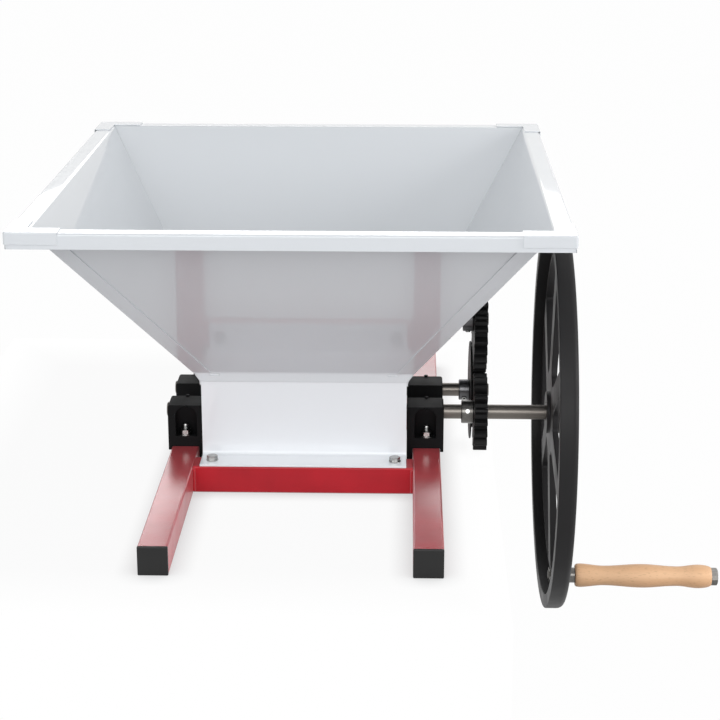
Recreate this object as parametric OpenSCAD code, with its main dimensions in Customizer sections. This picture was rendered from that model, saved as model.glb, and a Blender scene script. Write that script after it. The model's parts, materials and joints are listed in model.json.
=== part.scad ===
/* [Frame] */
// Side of the square frame tube
tube = 28; // [26:1:30]
// Wall of the frame tube
tube_wall = 2; // [1.5:0.25:2.5]
// Outer corner radius of the frame tube
tube_radius = 2; // [1.5:0.25:4]
// Length of each side rail
rail_length = 624; // [560:4:700]
// Gap between a throat plate and its crossbar
crossbar_gap = 4; // [3:0.5:8]
// Leg of the weld beads at the crossbar ends
weld_leg = 3; // [2:0.5:4]
// Thickness of the flange of a rail end cap
cap_flange = 2.5; // [1.5:0.5:4]
// Length of the plug of a rail end cap
cap_plug = 14; // [8:1:20]
// Corner radius of the flange of a rail end cap
cap_radius = 1.2; // [0.6:0.2:3]

/* [Throat] */
// Height of the fold where the front and rear hopper walls meet the throat
throat_height = 118; // [114:1:126]
// Sheet thickness of the throat plates
plate_t = 2; // [1.5:0.25:3]
// Distance from the top of the throat plates up to the hopper fold
plate_drop = 2; // [1.5:0.5:4]
// Depth of the skirt that hangs from the hopper over the throat plates
skirt_depth = 10.5; // [9:0.5:16]
// Share of the skirt depth by which the side walls fold lower
side_fold_share = 0.95; // [0.5:0.05:0.95]
// Extra depth of the side skirts
side_skirt_extra = 4; // [2:0.5:6]
// Distance of the flange bolts from the plate ends
plate_bolt_inset = 11.5; // [10:0.5:20]
// Length of the slots in the hopper skirt
slot_length = 10; // [6:1:14]
// Height of the slots in the hopper skirt
slot_height = 1.8; // [1.4:0.2:2.4]
// Distance of the slot centres from the plate ends
slot_inset = 14; // [10:1:30]
// Material of the plates above the slots
slot_cover = 0.2; // [0.2:0.1:1]
// Distance that the tongues stand out of the slots
tongue_stand = 0.6; // [0.2:0.1:1.5]
// Clearance of the shafts in the side plates
plate_hole_clear = 2; // [1:0.5:4]
// Height of the side plates above the frame rails
side_plate_rise = 6; // [3:1:10]

/* [Hopper] */
// Width of the hopper rim from left to right
rim_width = 504; // [480:4:540]
// Depth of the hopper rim from front to back
rim_depth = 546; // [500:4:580]
// Height of the hopper rim above the underside of the rails
rim_height = 307; // [290:1:330]
// Width of the flat flange around the rim
rim_flange = 18.3; // [14:0.1:24]
// Height of the turned-down lip of the rim
rim_lip = 14.4; // [12.5:0.1:20]
// Sheet thickness of the hopper walls
sheet = 1.2; // [0.8:0.1:1.5]
// Width of the strips that cover the corner seams of the hopper
strip_width = 18; // [12:1:24]
// Leg length of the rim corner caps
cap_leg = 48; // [30:1:70]
// Height of the rim corner caps
cap_height = 11.3; // [8:0.1:12.5]
// Sheet thickness of the rim corner caps
cap_sheet = 1.2; // [0.8:0.1:2]

/* [Bearing blocks] */
// Depth of a bearing block along the rail
block_depth = 32; // [31:0.5:34]
// Height of the block above the shaft axis
block_top = 9.5; // [9.5:0.5:13]
// Height of the shaft axes above the rails
shaft_rise = 35; // [34.5:0.5:38]
// Wall of the block skirts beside the rail
skirt_wall = 3.3; // [2.5:0.1:3.5]
// Clearance between the block skirts and the rail
skirt_clear = 0.2; // [0.1:0.1:0.5]
// Chamfer of the upper edges of a block
block_edge = 2; // [1:0.5:4]
// Gap between a side plate of the throat and the bearing blocks
block_gap = 0.4; // [0.3:0.1:2]
// Distance from a side plate of the throat to the rail
rail_gap = 6.7; // [6:0.1:12]
// Depth of the inner skirt below the rail top
inner_skirt = 12.5; // [8:0.5:18]
// Depth of the outer skirt below the rail top
outer_skirt = 4; // [3:0.5:10]
// Thickness of the block floor on the rail
block_floor = 11; // [8:0.5:12]
// Width of the arched pockets
pocket_width = 22; // [18:0.5:23]
// Thickness of the rib between the outer and the inner pocket
pocket_rib = 4; // [3:0.5:4]
// Depth of the outer pocket at its crown
pocket_lip = 2; // [1:0.5:3]
// Material over the crown of the outer pocket
pocket_cover = 1; // [1:0.5:4]
// Material between the shaft bore and the crown of the inner pocket
bore_cover = 3; // [2:0.5:4]
// Distance that the block bolts stand above the pocket floor
bolt_rise = 12; // [8:0.5:12]
// Distance of the block washers from the faces of the block
washer_inset = 0.2; // [0.1:0.1:0.4]
// Height of the small lug on top of the block
lug = 1.5; // [1:0.5:3]
// Diameter of the small lug
lug_d = 4; // [3:0.5:5]

/* [Rollers and shafts] */
// Diameter of the driven shaft
driven_shaft_d = 14; // [12:0.5:15]
// Diameter of the drive shaft
drive_shaft_d = 15; // [13:0.5:15]
// Radial running clearance of the shafts in their bearings
run_clear = 0.08; // [0.05:0.01:0.1]
// Radial clearance of parts seated on a shaft
seat_clear = 0.01; // [0.01:0.01:0.05]
// Distance that the shafts stand out of the left blocks
shaft_stub = 2; // [1:0.5:6]
// Length of the rollers
roller_length = 196; // [180:1:196]
// Gap between the two rollers
roller_gap = 5; // [5:0.5:8]
// Gap between a roller end and the side plate
roller_end_gap = 3.5; // [2:0.5:5]
// Gap between a roller and the front or rear plate
roller_side_gap = 6.5; // [4:0.5:10]
// Number of flutes on a roller
flutes = 12; // [8:1:16]
// Radius of a flute
flute_radius = 5; // [3:0.5:6]
// Depth of a flute
flute_depth = 3.5; // [2:0.5:4]
// Diameter of the pins that lock the rollers on their shafts
pin_d = 6; // [4:0.5:7]
// Distance of the pins from the roller ends
pin_inset = 14; // [10:1:30]
// Distance that the pin ends lie below the roller surface
pin_sink = 2; // [1:0.5:4]

/* [Gears] */
// Gear module
gear_module = 4; // [3.8:0.05:4]
// Teeth of the two roller gears
pinion_teeth = 18; // [18:1:18]
// Teeth of the agitator gear
agitator_teeth = 26; // [24:1:28]
// Circumferential play of each tooth
tooth_play = 0.35; // [0.2:0.05:0.5]
// Root clearance as a share of the module
root_share = 0.25; // [0.2:0.01:0.3]
// Face width of the gears
gear_width = 13.5; // [10:0.5:18]
// Distance from the right blocks to the gears
gear_offset = 30.6; // [28:0.2:34]
// Length of the drive gear hub
drive_hub_length = 12.4; // [8:0.2:15]
// Diameter of the drive gear hub
drive_hub_d = 24; // [21:0.5:28]
// Length of the driven gear collar
driven_hub_length = 11.2; // [8:0.2:14]
// Diameter of the driven gear collar
driven_hub_d = 22; // [20:0.5:26]
// Length of the agitator gear hub
agitator_hub_length = 10.8; // [8:0.2:14]
// Diameter of the agitator gear hub
agitator_hub_d = 26; // [21:0.5:30]
// Radius of the guide disc beside the driven gear
disc_radius = 52; // [46:0.5:54]
// Thickness of the guide disc
disc_t = 1.5; // [1:0.25:2]
// Gap between the guide disc and the gears beside it
disc_gap = 0.5; // [0.4:0.1:1]
// Distance that the driven shaft stands out of its gear
driven_stub = 5; // [2:0.5:8]
// Diameter of the set screws
screw_d = 5; // [4:0.5:5]
// Height that a set screw stands out of its hub
screw_stand = 1; // [0.5:0.25:2]

/* [Agitator] */
// Distance of the agitator axis behind the middle of the rollers
agitator_y = 14; // [10:0.5:15]
// Diameter of the agitator shaft
agitator_shaft_d = 14; // [12:0.5:16]
// Radius swept by the paddles
paddle_radius = 49; // [40:1:51]
// Width of a paddle
paddle_width = 30; // [20:1:36]
// Thickness of a paddle
paddle_t = 5; // [3:0.5:8]
// Distance between neighbouring paddles
paddle_pitch = 44; // [38:1:50]
// Number of paddles
paddles = 4; // [2:1:4]
// Diameter of the agitator bushes in the wall
bush_d = 22; // [19:0.5:26]
// Diameter of the bush shoulder outside the wall
bush_shoulder_d = 34; // [30:1:40]
// Distance that the shoulder stands out at its axis
bush_length = 16; // [15:0.5:20]
// Distance that the bush stands into the hopper at its axis
bush_inside = 10; // [9:0.5:14]
// Width of the retaining collar on the agitator shaft
retainer_width = 8; // [6:0.5:12]
// Distance that the agitator shaft stands out of its collar and its gear
agitator_stub = 2.5; // [1:0.5:5]
// End float between the retaining collars and the bushes
end_float = 0.3; // [0.2:0.05:0.6]

/* [Flywheel] */
// Diameter of the flywheel
wheel_d = 400; // [380:2:440]
// Width of the wheel tread
wheel_width = 17.7; // [16:0.1:20]
// Distance from the gears to the wheel
wheel_offset = 59.5; // [50:0.5:80]
// Radial depth of the rim
rim_radial = 14; // [10:0.5:14]
// Length of the rounded shoulder on the outer edge of the tread
shoulder_length = 5.9; // [4:0.1:8]
// Drop of the rounded shoulder
shoulder_drop = 5; // [3:0.1:6]
// Number of spokes
spokes = 6; // [5:1:8]
// Width of a spoke
spoke_width = 26; // [18:1:32]
// Thickness of the web
web_t = 4.5; // [4:0.25:6]
// Extra thickness of the web at the hub
web_swell = 1; // [0:0.25:3]
// Distance that the web steps in from the left edge near the rim
web_inset = 13.2; // [12.4:0.1:13.2]
// Height of the bead around the windows on the left face of the web
web_bead = 3.9; // [2:0.1:5]
// Gap between the bead and the handle nut
bead_gap = 0.5; // [0.3:0.1:1.5]
// Distance that the web steps in from the left edge at the hub
web_hub_inset = 4.6; // [3:0.1:8]
// Radius of the wheel hub
hub_radius = 21.5; // [18:0.5:26]
// Distance that the hub steps in from the left edge
hub_inset = 1.4; // [0:0.1:2.8]
// Length of the hub
hub_length = 19; // [16:0.5:24]
// Radius of the inner ends of the windows
window_inner = 44; // [36:1:60]
// Radial land between the windows and the handle nut
window_land = 2.8; // [2:0.1:8]
// Corner radius of the windows
window_radius = 10; // [4:0.5:11]
// Angle of the first spoke from the horizontal
spoke_angle = 25; // [0:1:59]
// Diameter of the threaded end of the drive shaft
thread_d = 12; // [10:1:12]
// Thickness of the washer on the wheel hub
wheel_washer_t = 1.8; // [1:0.1:3]
// Distance that the thread stands out of the wheel nut
thread_stub = 2; // [1:0.5:5]
// Width of the key in the wheel hub
key_width = 5; // [4:0.5:5]
// Height that the key stands out of the shaft
key_rise = 2; // [1.5:0.25:2.5]

/* [Handle] */
// Radial gap between the handle nut and the rim
handle_land = 0.8; // [0.4:0.1:6]
// Angle of the handle on the wheel from the horizontal
handle_angle = 265; // [0:1:359]
// Length of the wooden grip
grip_length = 142; // [100:1:160]
// Largest radius of the grip
grip_radius = 12.3; // [11:0.1:14]
// Radius of the grip at its waists
grip_waist = 10.2; // [9:0.1:11]
// Length of the spacer between the nut and the grip
spacer_length = 9; // [5:0.1:20]
// Diameter of the handle bolt
handle_bolt_d = 10; // [8:1:10]
// Distance that the handle bolt stands out of the inner nut
nut_stub = 1; // [0.5:0.25:2]

/* [Fasteners] */
// Diameter of the block bolts
block_bolt_d = 6; // [5:0.5:6]
// Diameter of the plate bolts
plate_bolt_d = 6; // [5:0.5:8]
// Length of the plate bolts under the head
plate_bolt_length = 14; // [12:1:15]
// Wall of the rivet nuts that hold the plate bolts
rivet_wall = 1.2; // [1:0.1:1.5]
// Length of the rivet nuts
rivet_nut_length = 11; // [9:0.5:13]
// Height of the heads of the block bolts
block_head = 3; // [2.5:0.5:4]
// Clearance of the bolt holes
hole_clear = 0.3; // [0.2:0.1:0.6]
// Thickness of the washers under the nuts and heads
washer_t = 1.2; // [0.8:0.1:2]

/* [Hidden] */

// Smoothness of curves that stay true circles
$fn = 96;
// Overshoot of a cutting body
over = 1;

// Colours as they look on the object
enamel_white = [0.90, 0.91, 0.93];
enamel_red = [0.72, 0.12, 0.18];
moulded_black = [0.11, 0.11, 0.12];
cast_black = [0.14, 0.14, 0.15];
shaft_steel = [0.45, 0.43, 0.42];
zinc = [0.78, 0.79, 0.80];
aluminium = [0.72, 0.73, 0.74];
beech = [0.85, 0.70, 0.50];

// Gear train
pressure_angle = 20;
pitch_radius = gear_module * pinion_teeth / 2;
agitator_pitch_radius = gear_module * agitator_teeth / 2;
shaft_y = pitch_radius;
shaft_z = tube + shaft_rise;
train_distance = pitch_radius + agitator_pitch_radius;
agitator_z = shaft_z + sqrt(pow(train_distance, 2) - pow(shaft_y - agitator_y, 2));
// Direction from the driven shaft to the agitator shaft
train_angle = atan2(agitator_z - shaft_z, agitator_y - shaft_y);

// Rollers and throat
roller_radius = shaft_y - roller_gap / 2;
throat_y = shaft_y + roller_radius + roller_side_gap + plate_t;
throat_x = roller_length / 2 + roller_end_gap + plate_t;
plate_top = throat_height - plate_drop;
crossbar_y = throat_y + crossbar_gap + tube / 2;
rail_x = throat_x + rail_gap + tube / 2;
crossbar_length = 2 * rail_x - tube;

// Hopper walls: inner faces run straight from the rim to the throat
rim_x = rim_width / 2;
rim_y = rim_depth / 2;
rim_top = rim_height - cap_sheet;
rim_under = rim_top - sheet;
fold_x = rim_x - rim_flange;
fold_y = rim_y - rim_flange;
side_fold = throat_height - side_fold_share * skirt_depth;
skirt_bottom = throat_height - skirt_depth;
slope_x = (fold_x - throat_x) / (rim_height - side_fold);
slope_y = (fold_y - throat_y) / (rim_height - throat_height);
sheet_x = sheet * sqrt(1 + pow(slope_x, 2));
sheet_y = sheet * sqrt(1 + pow(slope_y, 2));
function wall_x(z) = throat_x + slope_x * (z - side_fold);
function wall_y(z) = throat_y + slope_y * (z - throat_height);

// Bearing blocks: reach of a block from the middle of its rail, outwards and inwards
block_outer = tube / 2 + skirt_clear + skirt_wall;
block_inner = tube / 2 + rail_gap - block_gap;
block_out = rail_x + block_outer;
pocket_floor = tube + block_floor;
pocket_depth = (block_depth - pocket_rib) / 2;

// Places along the shafts
gear_x = block_out + gear_offset;
gear_end = gear_x + gear_width;
wheel_x = gear_end + wheel_offset;
wheel_radius = wheel_d / 2;
wheel_out = wheel_x + wheel_width;
hub_x = wheel_x + hub_inset;
hub_end = hub_x + hub_length;
web_x = wheel_x + web_inset;
web_out = web_x + web_t;
shaft_left = -(block_out + shaft_stub);
disc_x = gear_x - disc_gap - disc_t;

// Nuts, heads and washers by thread diameter
function nut_flats(d) = 1.6 * d;
function nut_radius(d) = nut_flats(d) / 2 / cos(30);
function nut_height(d) = 0.8 * d;
function head_height(d) = 0.64 * d;
function washer_d(d) = 2 * d;
function thin_nut_height(d) = 0.45 * d;
bolt_offset = block_depth / 2 - washer_inset - washer_d(block_bolt_d) / 2;

// Wheel and handle fastening
rim_inner = wheel_radius - rim_radial;
handle_radius = rim_inner - handle_land - nut_radius(handle_bolt_d);
window_outer = handle_radius - nut_radius(handle_bolt_d) - window_land;
bead_outer = window_outer + window_land - bead_gap;
wheel_nut_x = hub_end + wheel_washer_t;
shaft_right = wheel_nut_x + nut_height(thread_d) + thread_stub;
handle_y = -shaft_y + handle_radius * cos(handle_angle);
handle_z = shaft_z + handle_radius * sin(handle_angle);
spacer_x = web_out + nut_height(handle_bolt_d) + washer_t;
grip_x = spacer_x + spacer_length + end_float;
grip_end = grip_x + grip_length;
inner_nut_t = thin_nut_height(handle_bolt_d);

// Places a child that points along +X
module along_x(x, y = 0, z = 0) {
  translate([x, y, z]) rotate([90, 0, 90]) children();
}

module rod_x(x, length, d, y, z) {
  along_x(x, y, z) cylinder(h = length, d = d);
}

module box(x0, x1, y0, y1, z0, z1) {
  translate([x0, y0, z0]) cube([x1 - x0, y1 - y0, z1 - z0]);
}

module mirror_x(on = true) {
  mirror([on ? 1 : 0, 0, 0]) children();
}

module mirror_y(on = true) {
  mirror([0, on ? 1 : 0, 0]) children();
}

// Solid between two level rectangles, each given as [x0, x1, y0, y1]
module between(z0, r0, z1, r1) {
  points = [
    for (p = [[z0, r0], [z1, r1]], c = [[0, 2], [1, 2], [1, 3], [0, 3]])
      [p[1][c[0]], p[1][c[1]], p[0]]
  ];
  polyhedron(points, [
    [0, 1, 2, 3], [7, 6, 5, 4], [0, 4, 5, 1], [1, 5, 6, 2], [2, 6, 7, 3], [3, 7, 4, 0]
  ]);
}

module rounded_square(side, r) {
  square([side - 2 * r, side], center = true);
  square([side, side - 2 * r], center = true);
  for (sx = [-1, 1], sy = [-1, 1]) translate([sx, sy] * (side / 2 - r)) circle(r = r);
}

// Smallest inner corner radius of the frame tube
tube_bend = 0.5;
tube_inner_radius = max(tube_radius - tube_wall, tube_bend);

module tube_section() {
  difference() {
    rounded_square(tube, tube_radius);
    rounded_square(tube - 2 * tube_wall, tube_inner_radius);
  }
}

module hexagon(flats, height) {
  cylinder(h = height, d = flats / cos(30), $fn = 6);
}

module nut(d, height) {
  difference() {
    hexagon(nut_flats(d), height);
    translate([0, 0, -over]) cylinder(h = height + 2 * over, d = d + 2 * seat_clear);
  }
}

module washer(d, outer, height) {
  difference() {
    cylinder(h = height, d = outer);
    translate([0, 0, -over]) cylinder(h = height + 2 * over, d = d + hole_clear);
  }
}

// Tooth form
function involute(base, r) = let (a = acos(base / r)) tan(a) * 180 / PI - a;
function tooth_half(teeth, r) = let (
  pitch = gear_module * teeth / 2,
  base = pitch * cos(pressure_angle)
) 90 / teeth - tooth_play / 4 / pitch * 180 / PI + involute(base, pitch) - involute(base, max(r, base));
function gear_outline(teeth) = let (
  pitch = gear_module * teeth / 2,
  base = pitch * cos(pressure_angle),
  root = pitch - gear_module * (1 + root_share),
  tip = pitch + gear_module,
  steps = 5,
  radii = concat([root], [for (i = [0:steps]) base + (tip - base) * pow(i / steps, 1.4)]),
  last = len(radii) - 1
) [
  for (i = [0:teeth - 1], side = [-1, 1], j = [0:last])
    let (
      r = radii[side < 0 ? j : last - j],
      a = 360 / teeth * i + side * tooth_half(teeth, r)
    ) r * [cos(a), sin(a)]
];

module gear_body(teeth, bore_d, phase, y, z) {
  along_x(gear_x, y, z) difference() {
    linear_extrude(gear_width) rotate(phase) polygon(gear_outline(teeth));
    translate([0, 0, -over]) cylinder(h = gear_width + 2 * over, d = bore_d + 2 * seat_clear);
  }
}

// Phase that puts a tooth space of a gear opposite the tooth of its mate
pinion_phase = 180 / pinion_teeth;
mate_offset = train_angle - pinion_phase;
nearest_tooth = mate_offset - 360 / pinion_teeth * round(mate_offset / (360 / pinion_teeth));
agitator_phase = train_angle + 180 + 180 / agitator_teeth
  + nearest_tooth * pinion_teeth / agitator_teeth;

// Directions of the set screws
drive_screw_angle = 160;
driven_screw_angle = 215;
agitator_screw_angle = 250;

module hub_ring(x, length, d, bore_d, y, z, screw_angle) {
  difference() {
    rod_x(x, length, d, y, z);
    rod_x(x - over, length + 2 * over, bore_d + 2 * seat_clear, y, z);
    set_screw_at(x + length / 2, y, z, screw_angle) cylinder(h = d, d = screw_d + 2 * seat_clear);
  }
}

module set_screw_at(x, y, z, angle) {
  translate([x, y, z]) rotate([angle - 90, 0, 0]) children();
}

module set_screw(x, y, z, angle, shaft_d, hub_d) {
  set_screw_at(x, y, z, angle) translate([0, 0, shaft_d / 2 + seat_clear])
    cylinder(h = hub_d / 2 + screw_stand - shaft_d / 2, d = screw_d);
}

// Frame
module rail(side) {
  color(enamel_red) difference() {
    translate([side * rail_x, rail_length / 2, tube / 2]) rotate([90, 0, 0])
      linear_extrude(rail_length) tube_section();
    for (sy = [-1, 1], s = [-1, 1])
      translate([side * rail_x, sy * shaft_y + s * bolt_offset, tube / 2])
        cylinder(h = tube, d = block_bolt_d + hole_clear);
  }
}

module left_rail() {
  rail(-1);
}

module right_rail() {
  rail(1);
}

module crossbar(front) {
  color(enamel_red) mirror_y(front) difference() {
    along_x(-crossbar_length / 2, crossbar_y, tube / 2)
      linear_extrude(crossbar_length) tube_section();
    for (s = [-1, 1]) translate([s * (throat_x - plate_bolt_inset), crossbar_y, tube / 2])
      cylinder(h = tube, d = rivet_nut_d + 2 * seat_clear);
  }
}

module front_crossbar() {
  crossbar(true);
}

module rear_crossbar() {
  crossbar(false);
}

module frame_welds() {
  bead = tube - 2 * tube_radius;
  color(enamel_red) for (sx = [-1, 1], sy = [-1, 1], face = [-1, 1])
    translate([sx * crossbar_length / 2, sy * crossbar_y + face * tube / 2, tube_radius])
      linear_extrude(bead) polygon([[0, 0], [0, face * weld_leg], [-sx * weld_leg, 0]]);
}

module rail_end_caps() {
  color(moulded_black) for (sx = [-1, 1], sy = [-1, 1])
    translate([sx * rail_x, sy * rail_length / 2, tube / 2]) rotate([-sy * 90, 0, 0]) {
      linear_extrude(cap_flange) rounded_square(tube, cap_radius);
      translate([0, 0, -cap_plug]) linear_extrude(cap_plug)
        rounded_square(tube - 2 * tube_wall - 2 * seat_clear, tube_inner_radius);
    }
}

// Bearing blocks
module block_outline() {
  top = shaft_rise + block_top;
  seat = tube / 2 + skirt_clear;
  polygon([
    [-block_inner, -inner_skirt], [-seat, -inner_skirt], [-seat, 0], [seat, 0], [seat, -outer_skirt],
    [block_outer, -outer_skirt], [block_outer, top - block_edge], [block_outer - block_edge, top],
    [-block_inner + block_edge, top], [-block_inner, top - block_edge]
  ]);
}

// Arched recess open to +Y; its back wall runs from the rib at the floor up to the lip at the crown
module block_pocket(crown, lip) {
  face = block_depth / 2;
  spring = crown - pocket_width / 2;
  intersection() {
    translate([(block_outer - block_inner) / 2, face + over, 0]) rotate([90, 0, 0])
      linear_extrude(block_depth) {
        translate([0, spring]) circle(d = pocket_width);
        translate([-pocket_width / 2, block_floor]) square([pocket_width, spring - block_floor]);
      }
    along_x(-block_inner) linear_extrude(block_inner + block_outer) polygon([
      [face + over, block_floor], [face - pocket_depth, block_floor], [face - lip, crown + over],
      [face + over, crown + over]
    ]);
  }
}

module bearing_block(right, rear, shaft_d) {
  color(moulded_black) mirror_x(!right) translate([rail_x, (rear ? 1 : -1) * shaft_y, tube])
    difference() {
      union() {
        rotate([90, 0, 0]) translate([0, 0, -block_depth / 2])
          linear_extrude(block_depth) block_outline();
        translate([0, block_depth / 2 - lug_d / 4, shaft_rise + block_top]) cylinder(h = lug, d = lug_d);
      }
      mirror_y(!rear) block_pocket(shaft_rise + block_top - pocket_cover, pocket_lip);
      mirror_y(rear) block_pocket(shaft_rise - drive_shaft_d / 2 - bore_cover, pocket_depth);
      rod_x(-block_inner - over, block_inner + block_outer + 2 * over, shaft_d + 2 * run_clear,
        0, shaft_rise);
      for (s = [-1, 1]) translate([0, s * bolt_offset, -over])
        cylinder(h = block_floor + 2 * over, d = block_bolt_d + hole_clear);
    }
}

module bearing_block_front_left() {
  bearing_block(false, false, drive_shaft_d);
}

module bearing_block_front_right() {
  bearing_block(true, false, drive_shaft_d);
}

module bearing_block_rear_left() {
  bearing_block(false, true, driven_shaft_d);
}

module bearing_block_rear_right() {
  bearing_block(true, true, driven_shaft_d);
}

module at_block_bolts() {
  for (sx = [-1, 1], sy = [-1, 1], s = [-1, 1])
    translate([sx * rail_x, sy * shaft_y + s * bolt_offset, 0]) children();
}

module block_bolts() {
  color(zinc) at_block_bolts() translate([0, 0, tube - tube_wall - block_head]) {
    hexagon(nut_flats(block_bolt_d), block_head);
    cylinder(h = block_head + tube_wall + block_floor + bolt_rise, d = block_bolt_d);
  }
}

module block_nuts() {
  color(zinc) at_block_bolts() translate([0, 0, pocket_floor + washer_t])
    nut(block_bolt_d, nut_height(block_bolt_d));
}

module block_washers() {
  color(zinc) at_block_bolts() translate([0, 0, pocket_floor])
    washer(block_bolt_d, washer_d(block_bolt_d), washer_t);
}

// Throat
module end_plate(front) {
  color(enamel_white) mirror_y(front) difference() {
    union() {
      box(-throat_x, throat_x, throat_y - plate_t, throat_y, tube, plate_top);
      box(-throat_x, throat_x, throat_y - plate_t, crossbar_y + tube / 2, tube, tube + plate_t);
      for (s = [-1, 1]) translate([s * (throat_x - slot_inset), 0, 0])
        box(-slot_length / 2 + hole_clear, slot_length / 2 - hole_clear,
          throat_y - over, throat_y + sheet + tongue_stand,
          slot_z + hole_clear, slot_z + slot_height - hole_clear);
    }
    for (s = [-1, 1]) translate([s * (throat_x - plate_bolt_inset), crossbar_y, tube - over])
      cylinder(h = plate_t + 2 * over, d = plate_bolt_d + hole_clear);
  }
}

// Height of the slots that the plate tongues hook into
slot_z = plate_top - slot_height - slot_cover;

module front_plate() {
  end_plate(true);
}

module rear_plate() {
  end_plate(false);
}

module side_plate(right) {
  inside_y = throat_y - plate_t;
  color(enamel_white) mirror_x(!right) difference() {
    box(throat_x - plate_t, throat_x, -inside_y, inside_y, tube + side_plate_rise, plate_top);
    for (p = [[-shaft_y, drive_shaft_d], [shaft_y, driven_shaft_d]])
      rod_x(throat_x - plate_t - over, plate_t + 2 * over, p[1] + 2 * plate_hole_clear, p[0], shaft_z);
  }
}

module left_throat_plate() {
  side_plate(false);
}

module right_throat_plate() {
  side_plate(true);
}

module at_plate_bolts() {
  for (sx = [-1, 1], sy = [-1, 1])
    translate([sx * (throat_x - plate_bolt_inset), sy * crossbar_y, tube + plate_t]) children();
}

rivet_nut_d = plate_bolt_d + 2 * rivet_wall;
rivet_bulge = 1;

module plate_bolts() {
  color(zinc) at_plate_bolts() {
    translate([0, 0, washer_t]) hexagon(nut_flats(plate_bolt_d), head_height(plate_bolt_d));
    translate([0, 0, washer_t - plate_bolt_length]) cylinder(h = plate_bolt_length, d = plate_bolt_d);
  }
}

module plate_washers() {
  color(zinc) at_plate_bolts() washer(plate_bolt_d, washer_d(plate_bolt_d), washer_t);
}

module plate_rivet_nuts() {
  color(zinc) at_plate_bolts() translate([0, 0, -plate_t - rivet_nut_length]) difference() {
    union() {
      cylinder(h = rivet_nut_length, d = rivet_nut_d);
      cylinder(h = rivet_nut_length - tube_wall, d = rivet_nut_d + 2 * rivet_bulge);
    }
    translate([0, 0, -over])
      cylinder(h = rivet_nut_length + 2 * over, d = plate_bolt_d + 2 * seat_clear);
  }
}

// Hopper walls
module rim_edge(half_length, half_width, fold_length, fold_width) {
  outer_l = half_length - cap_sheet;
  outer_w = half_width - cap_sheet;
  translate([0, 0, rim_under]) linear_extrude(sheet)
    polygon([
      [-fold_length, fold_width], [fold_length, fold_width], [outer_l, outer_w], [-outer_l, outer_w]
    ]);
  translate([0, 0, rim_top - rim_lip]) linear_extrude(rim_lip)
    polygon([
      [-outer_l + sheet, outer_w - sheet], [outer_l - sheet, outer_w - sheet],
      [outer_l, outer_w], [-outer_l, outer_w]
    ]);
}

// Front and rear walls end at the inner faces of the side walls
module end_wall(front) {
  x0 = wall_x(throat_height);
  x1 = wall_x(rim_under);
  y1 = wall_y(rim_under);
  color(enamel_white) mirror_y(front) {
    between(throat_height, [-x0, x0, throat_y, throat_y + sheet_y],
      rim_under, [-x1, x1, y1, y1 + sheet_y]);
    difference() {
      translate([0, throat_y + sheet, 0]) rotate([90, 0, 0]) linear_extrude(sheet) polygon([
        [-x0, throat_height], [-throat_x, side_fold], [-throat_x, skirt_bottom],
        [throat_x, skirt_bottom], [throat_x, side_fold], [x0, throat_height]
      ]);
      for (s = [-1, 1]) translate([s * (throat_x - slot_inset), 0, 0])
        box(-slot_length / 2, slot_length / 2, throat_y - over, throat_y + sheet + over,
          slot_z, slot_z + slot_height);
    }
    rim_edge(rim_x, rim_y, x1, y1);
  }
}

module hopper_front() {
  end_wall(true);
}

module hopper_rear() {
  end_wall(false);
}

// Side walls close over the edges of the front and rear walls
module side_wall(right) {
  x0 = wall_x(throat_height);
  x1 = wall_x(rim_under);
  xs = wall_x(side_fold);
  y0 = throat_y + sheet_y;
  y1 = wall_y(rim_under);
  color(enamel_white) mirror_x(!right) difference() {
    union() {
      between(throat_height, [x0, x0 + sheet_x, -y0, y0],
        rim_under, [x1, x1 + sheet_x, -y1 - sheet_y, y1 + sheet_y]);
      between(side_fold, [xs, xs + sheet_x, -throat_y - sheet, throat_y + sheet],
        throat_height, [x0, x0 + sheet_x, -throat_y - sheet, throat_y + sheet]);
      box(throat_x, throat_x + sheet, -throat_y, throat_y, skirt_bottom - side_skirt_extra, side_fold);
      rotate(-90) rim_edge(rim_y, rim_x, y1, x1);
    }
    rod_x(throat_x, fold_x, bush_d + 2 * seat_clear, agitator_y, agitator_z);
  }
}

// Strips lie outside on the front and rear walls, below the rim
module corner_strips() {
  x0 = wall_x(throat_height) + sheet_x;
  x1 = wall_x(rim_under) + sheet_x;
  y0 = throat_y + sheet_y;
  y1 = wall_y(rim_under) + sheet_y;
  color(enamel_white) for (mx = [0, 1], my = [0, 1]) mirror([mx, 0, 0]) mirror([0, my, 0])
    between(throat_height, [x0 - strip_width, x0, y0, y0 + sheet_y],
      rim_under, [x1 - strip_width, x1, y1, y1 + sheet_y]);
}

module hopper_left() {
  side_wall(false);
}

module hopper_right() {
  side_wall(true);
}

module rim_corner_caps() {
  color(enamel_white) for (mx = [0, 1], my = [0, 1]) mirror([mx, 0, 0]) mirror([0, my, 0]) {
    translate([0, 0, rim_top]) linear_extrude(cap_sheet) polygon([
      [rim_x, rim_y], [rim_x - cap_leg, rim_y], [rim_x - cap_leg, fold_y], [fold_x, fold_y],
      [fold_x, rim_y - cap_leg], [rim_x, rim_y - cap_leg]
    ]);
    translate([0, 0, rim_height - cap_height]) linear_extrude(cap_height - cap_sheet) polygon([
      [rim_x, rim_y], [rim_x - cap_leg, rim_y], [rim_x - cap_leg, rim_y - cap_sheet],
      [rim_x - cap_sheet, rim_y - cap_sheet], [rim_x - cap_sheet, rim_y - cap_leg],
      [rim_x, rim_y - cap_leg]
    ]);
  }
}

// Agitator bushes with a shoulder cut to the slope of the wall
wall_at_agitator = wall_x(agitator_z);
bush_out = wall_at_agitator + sheet_x + bush_length;
bush_in = wall_at_agitator - bush_inside;

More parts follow.
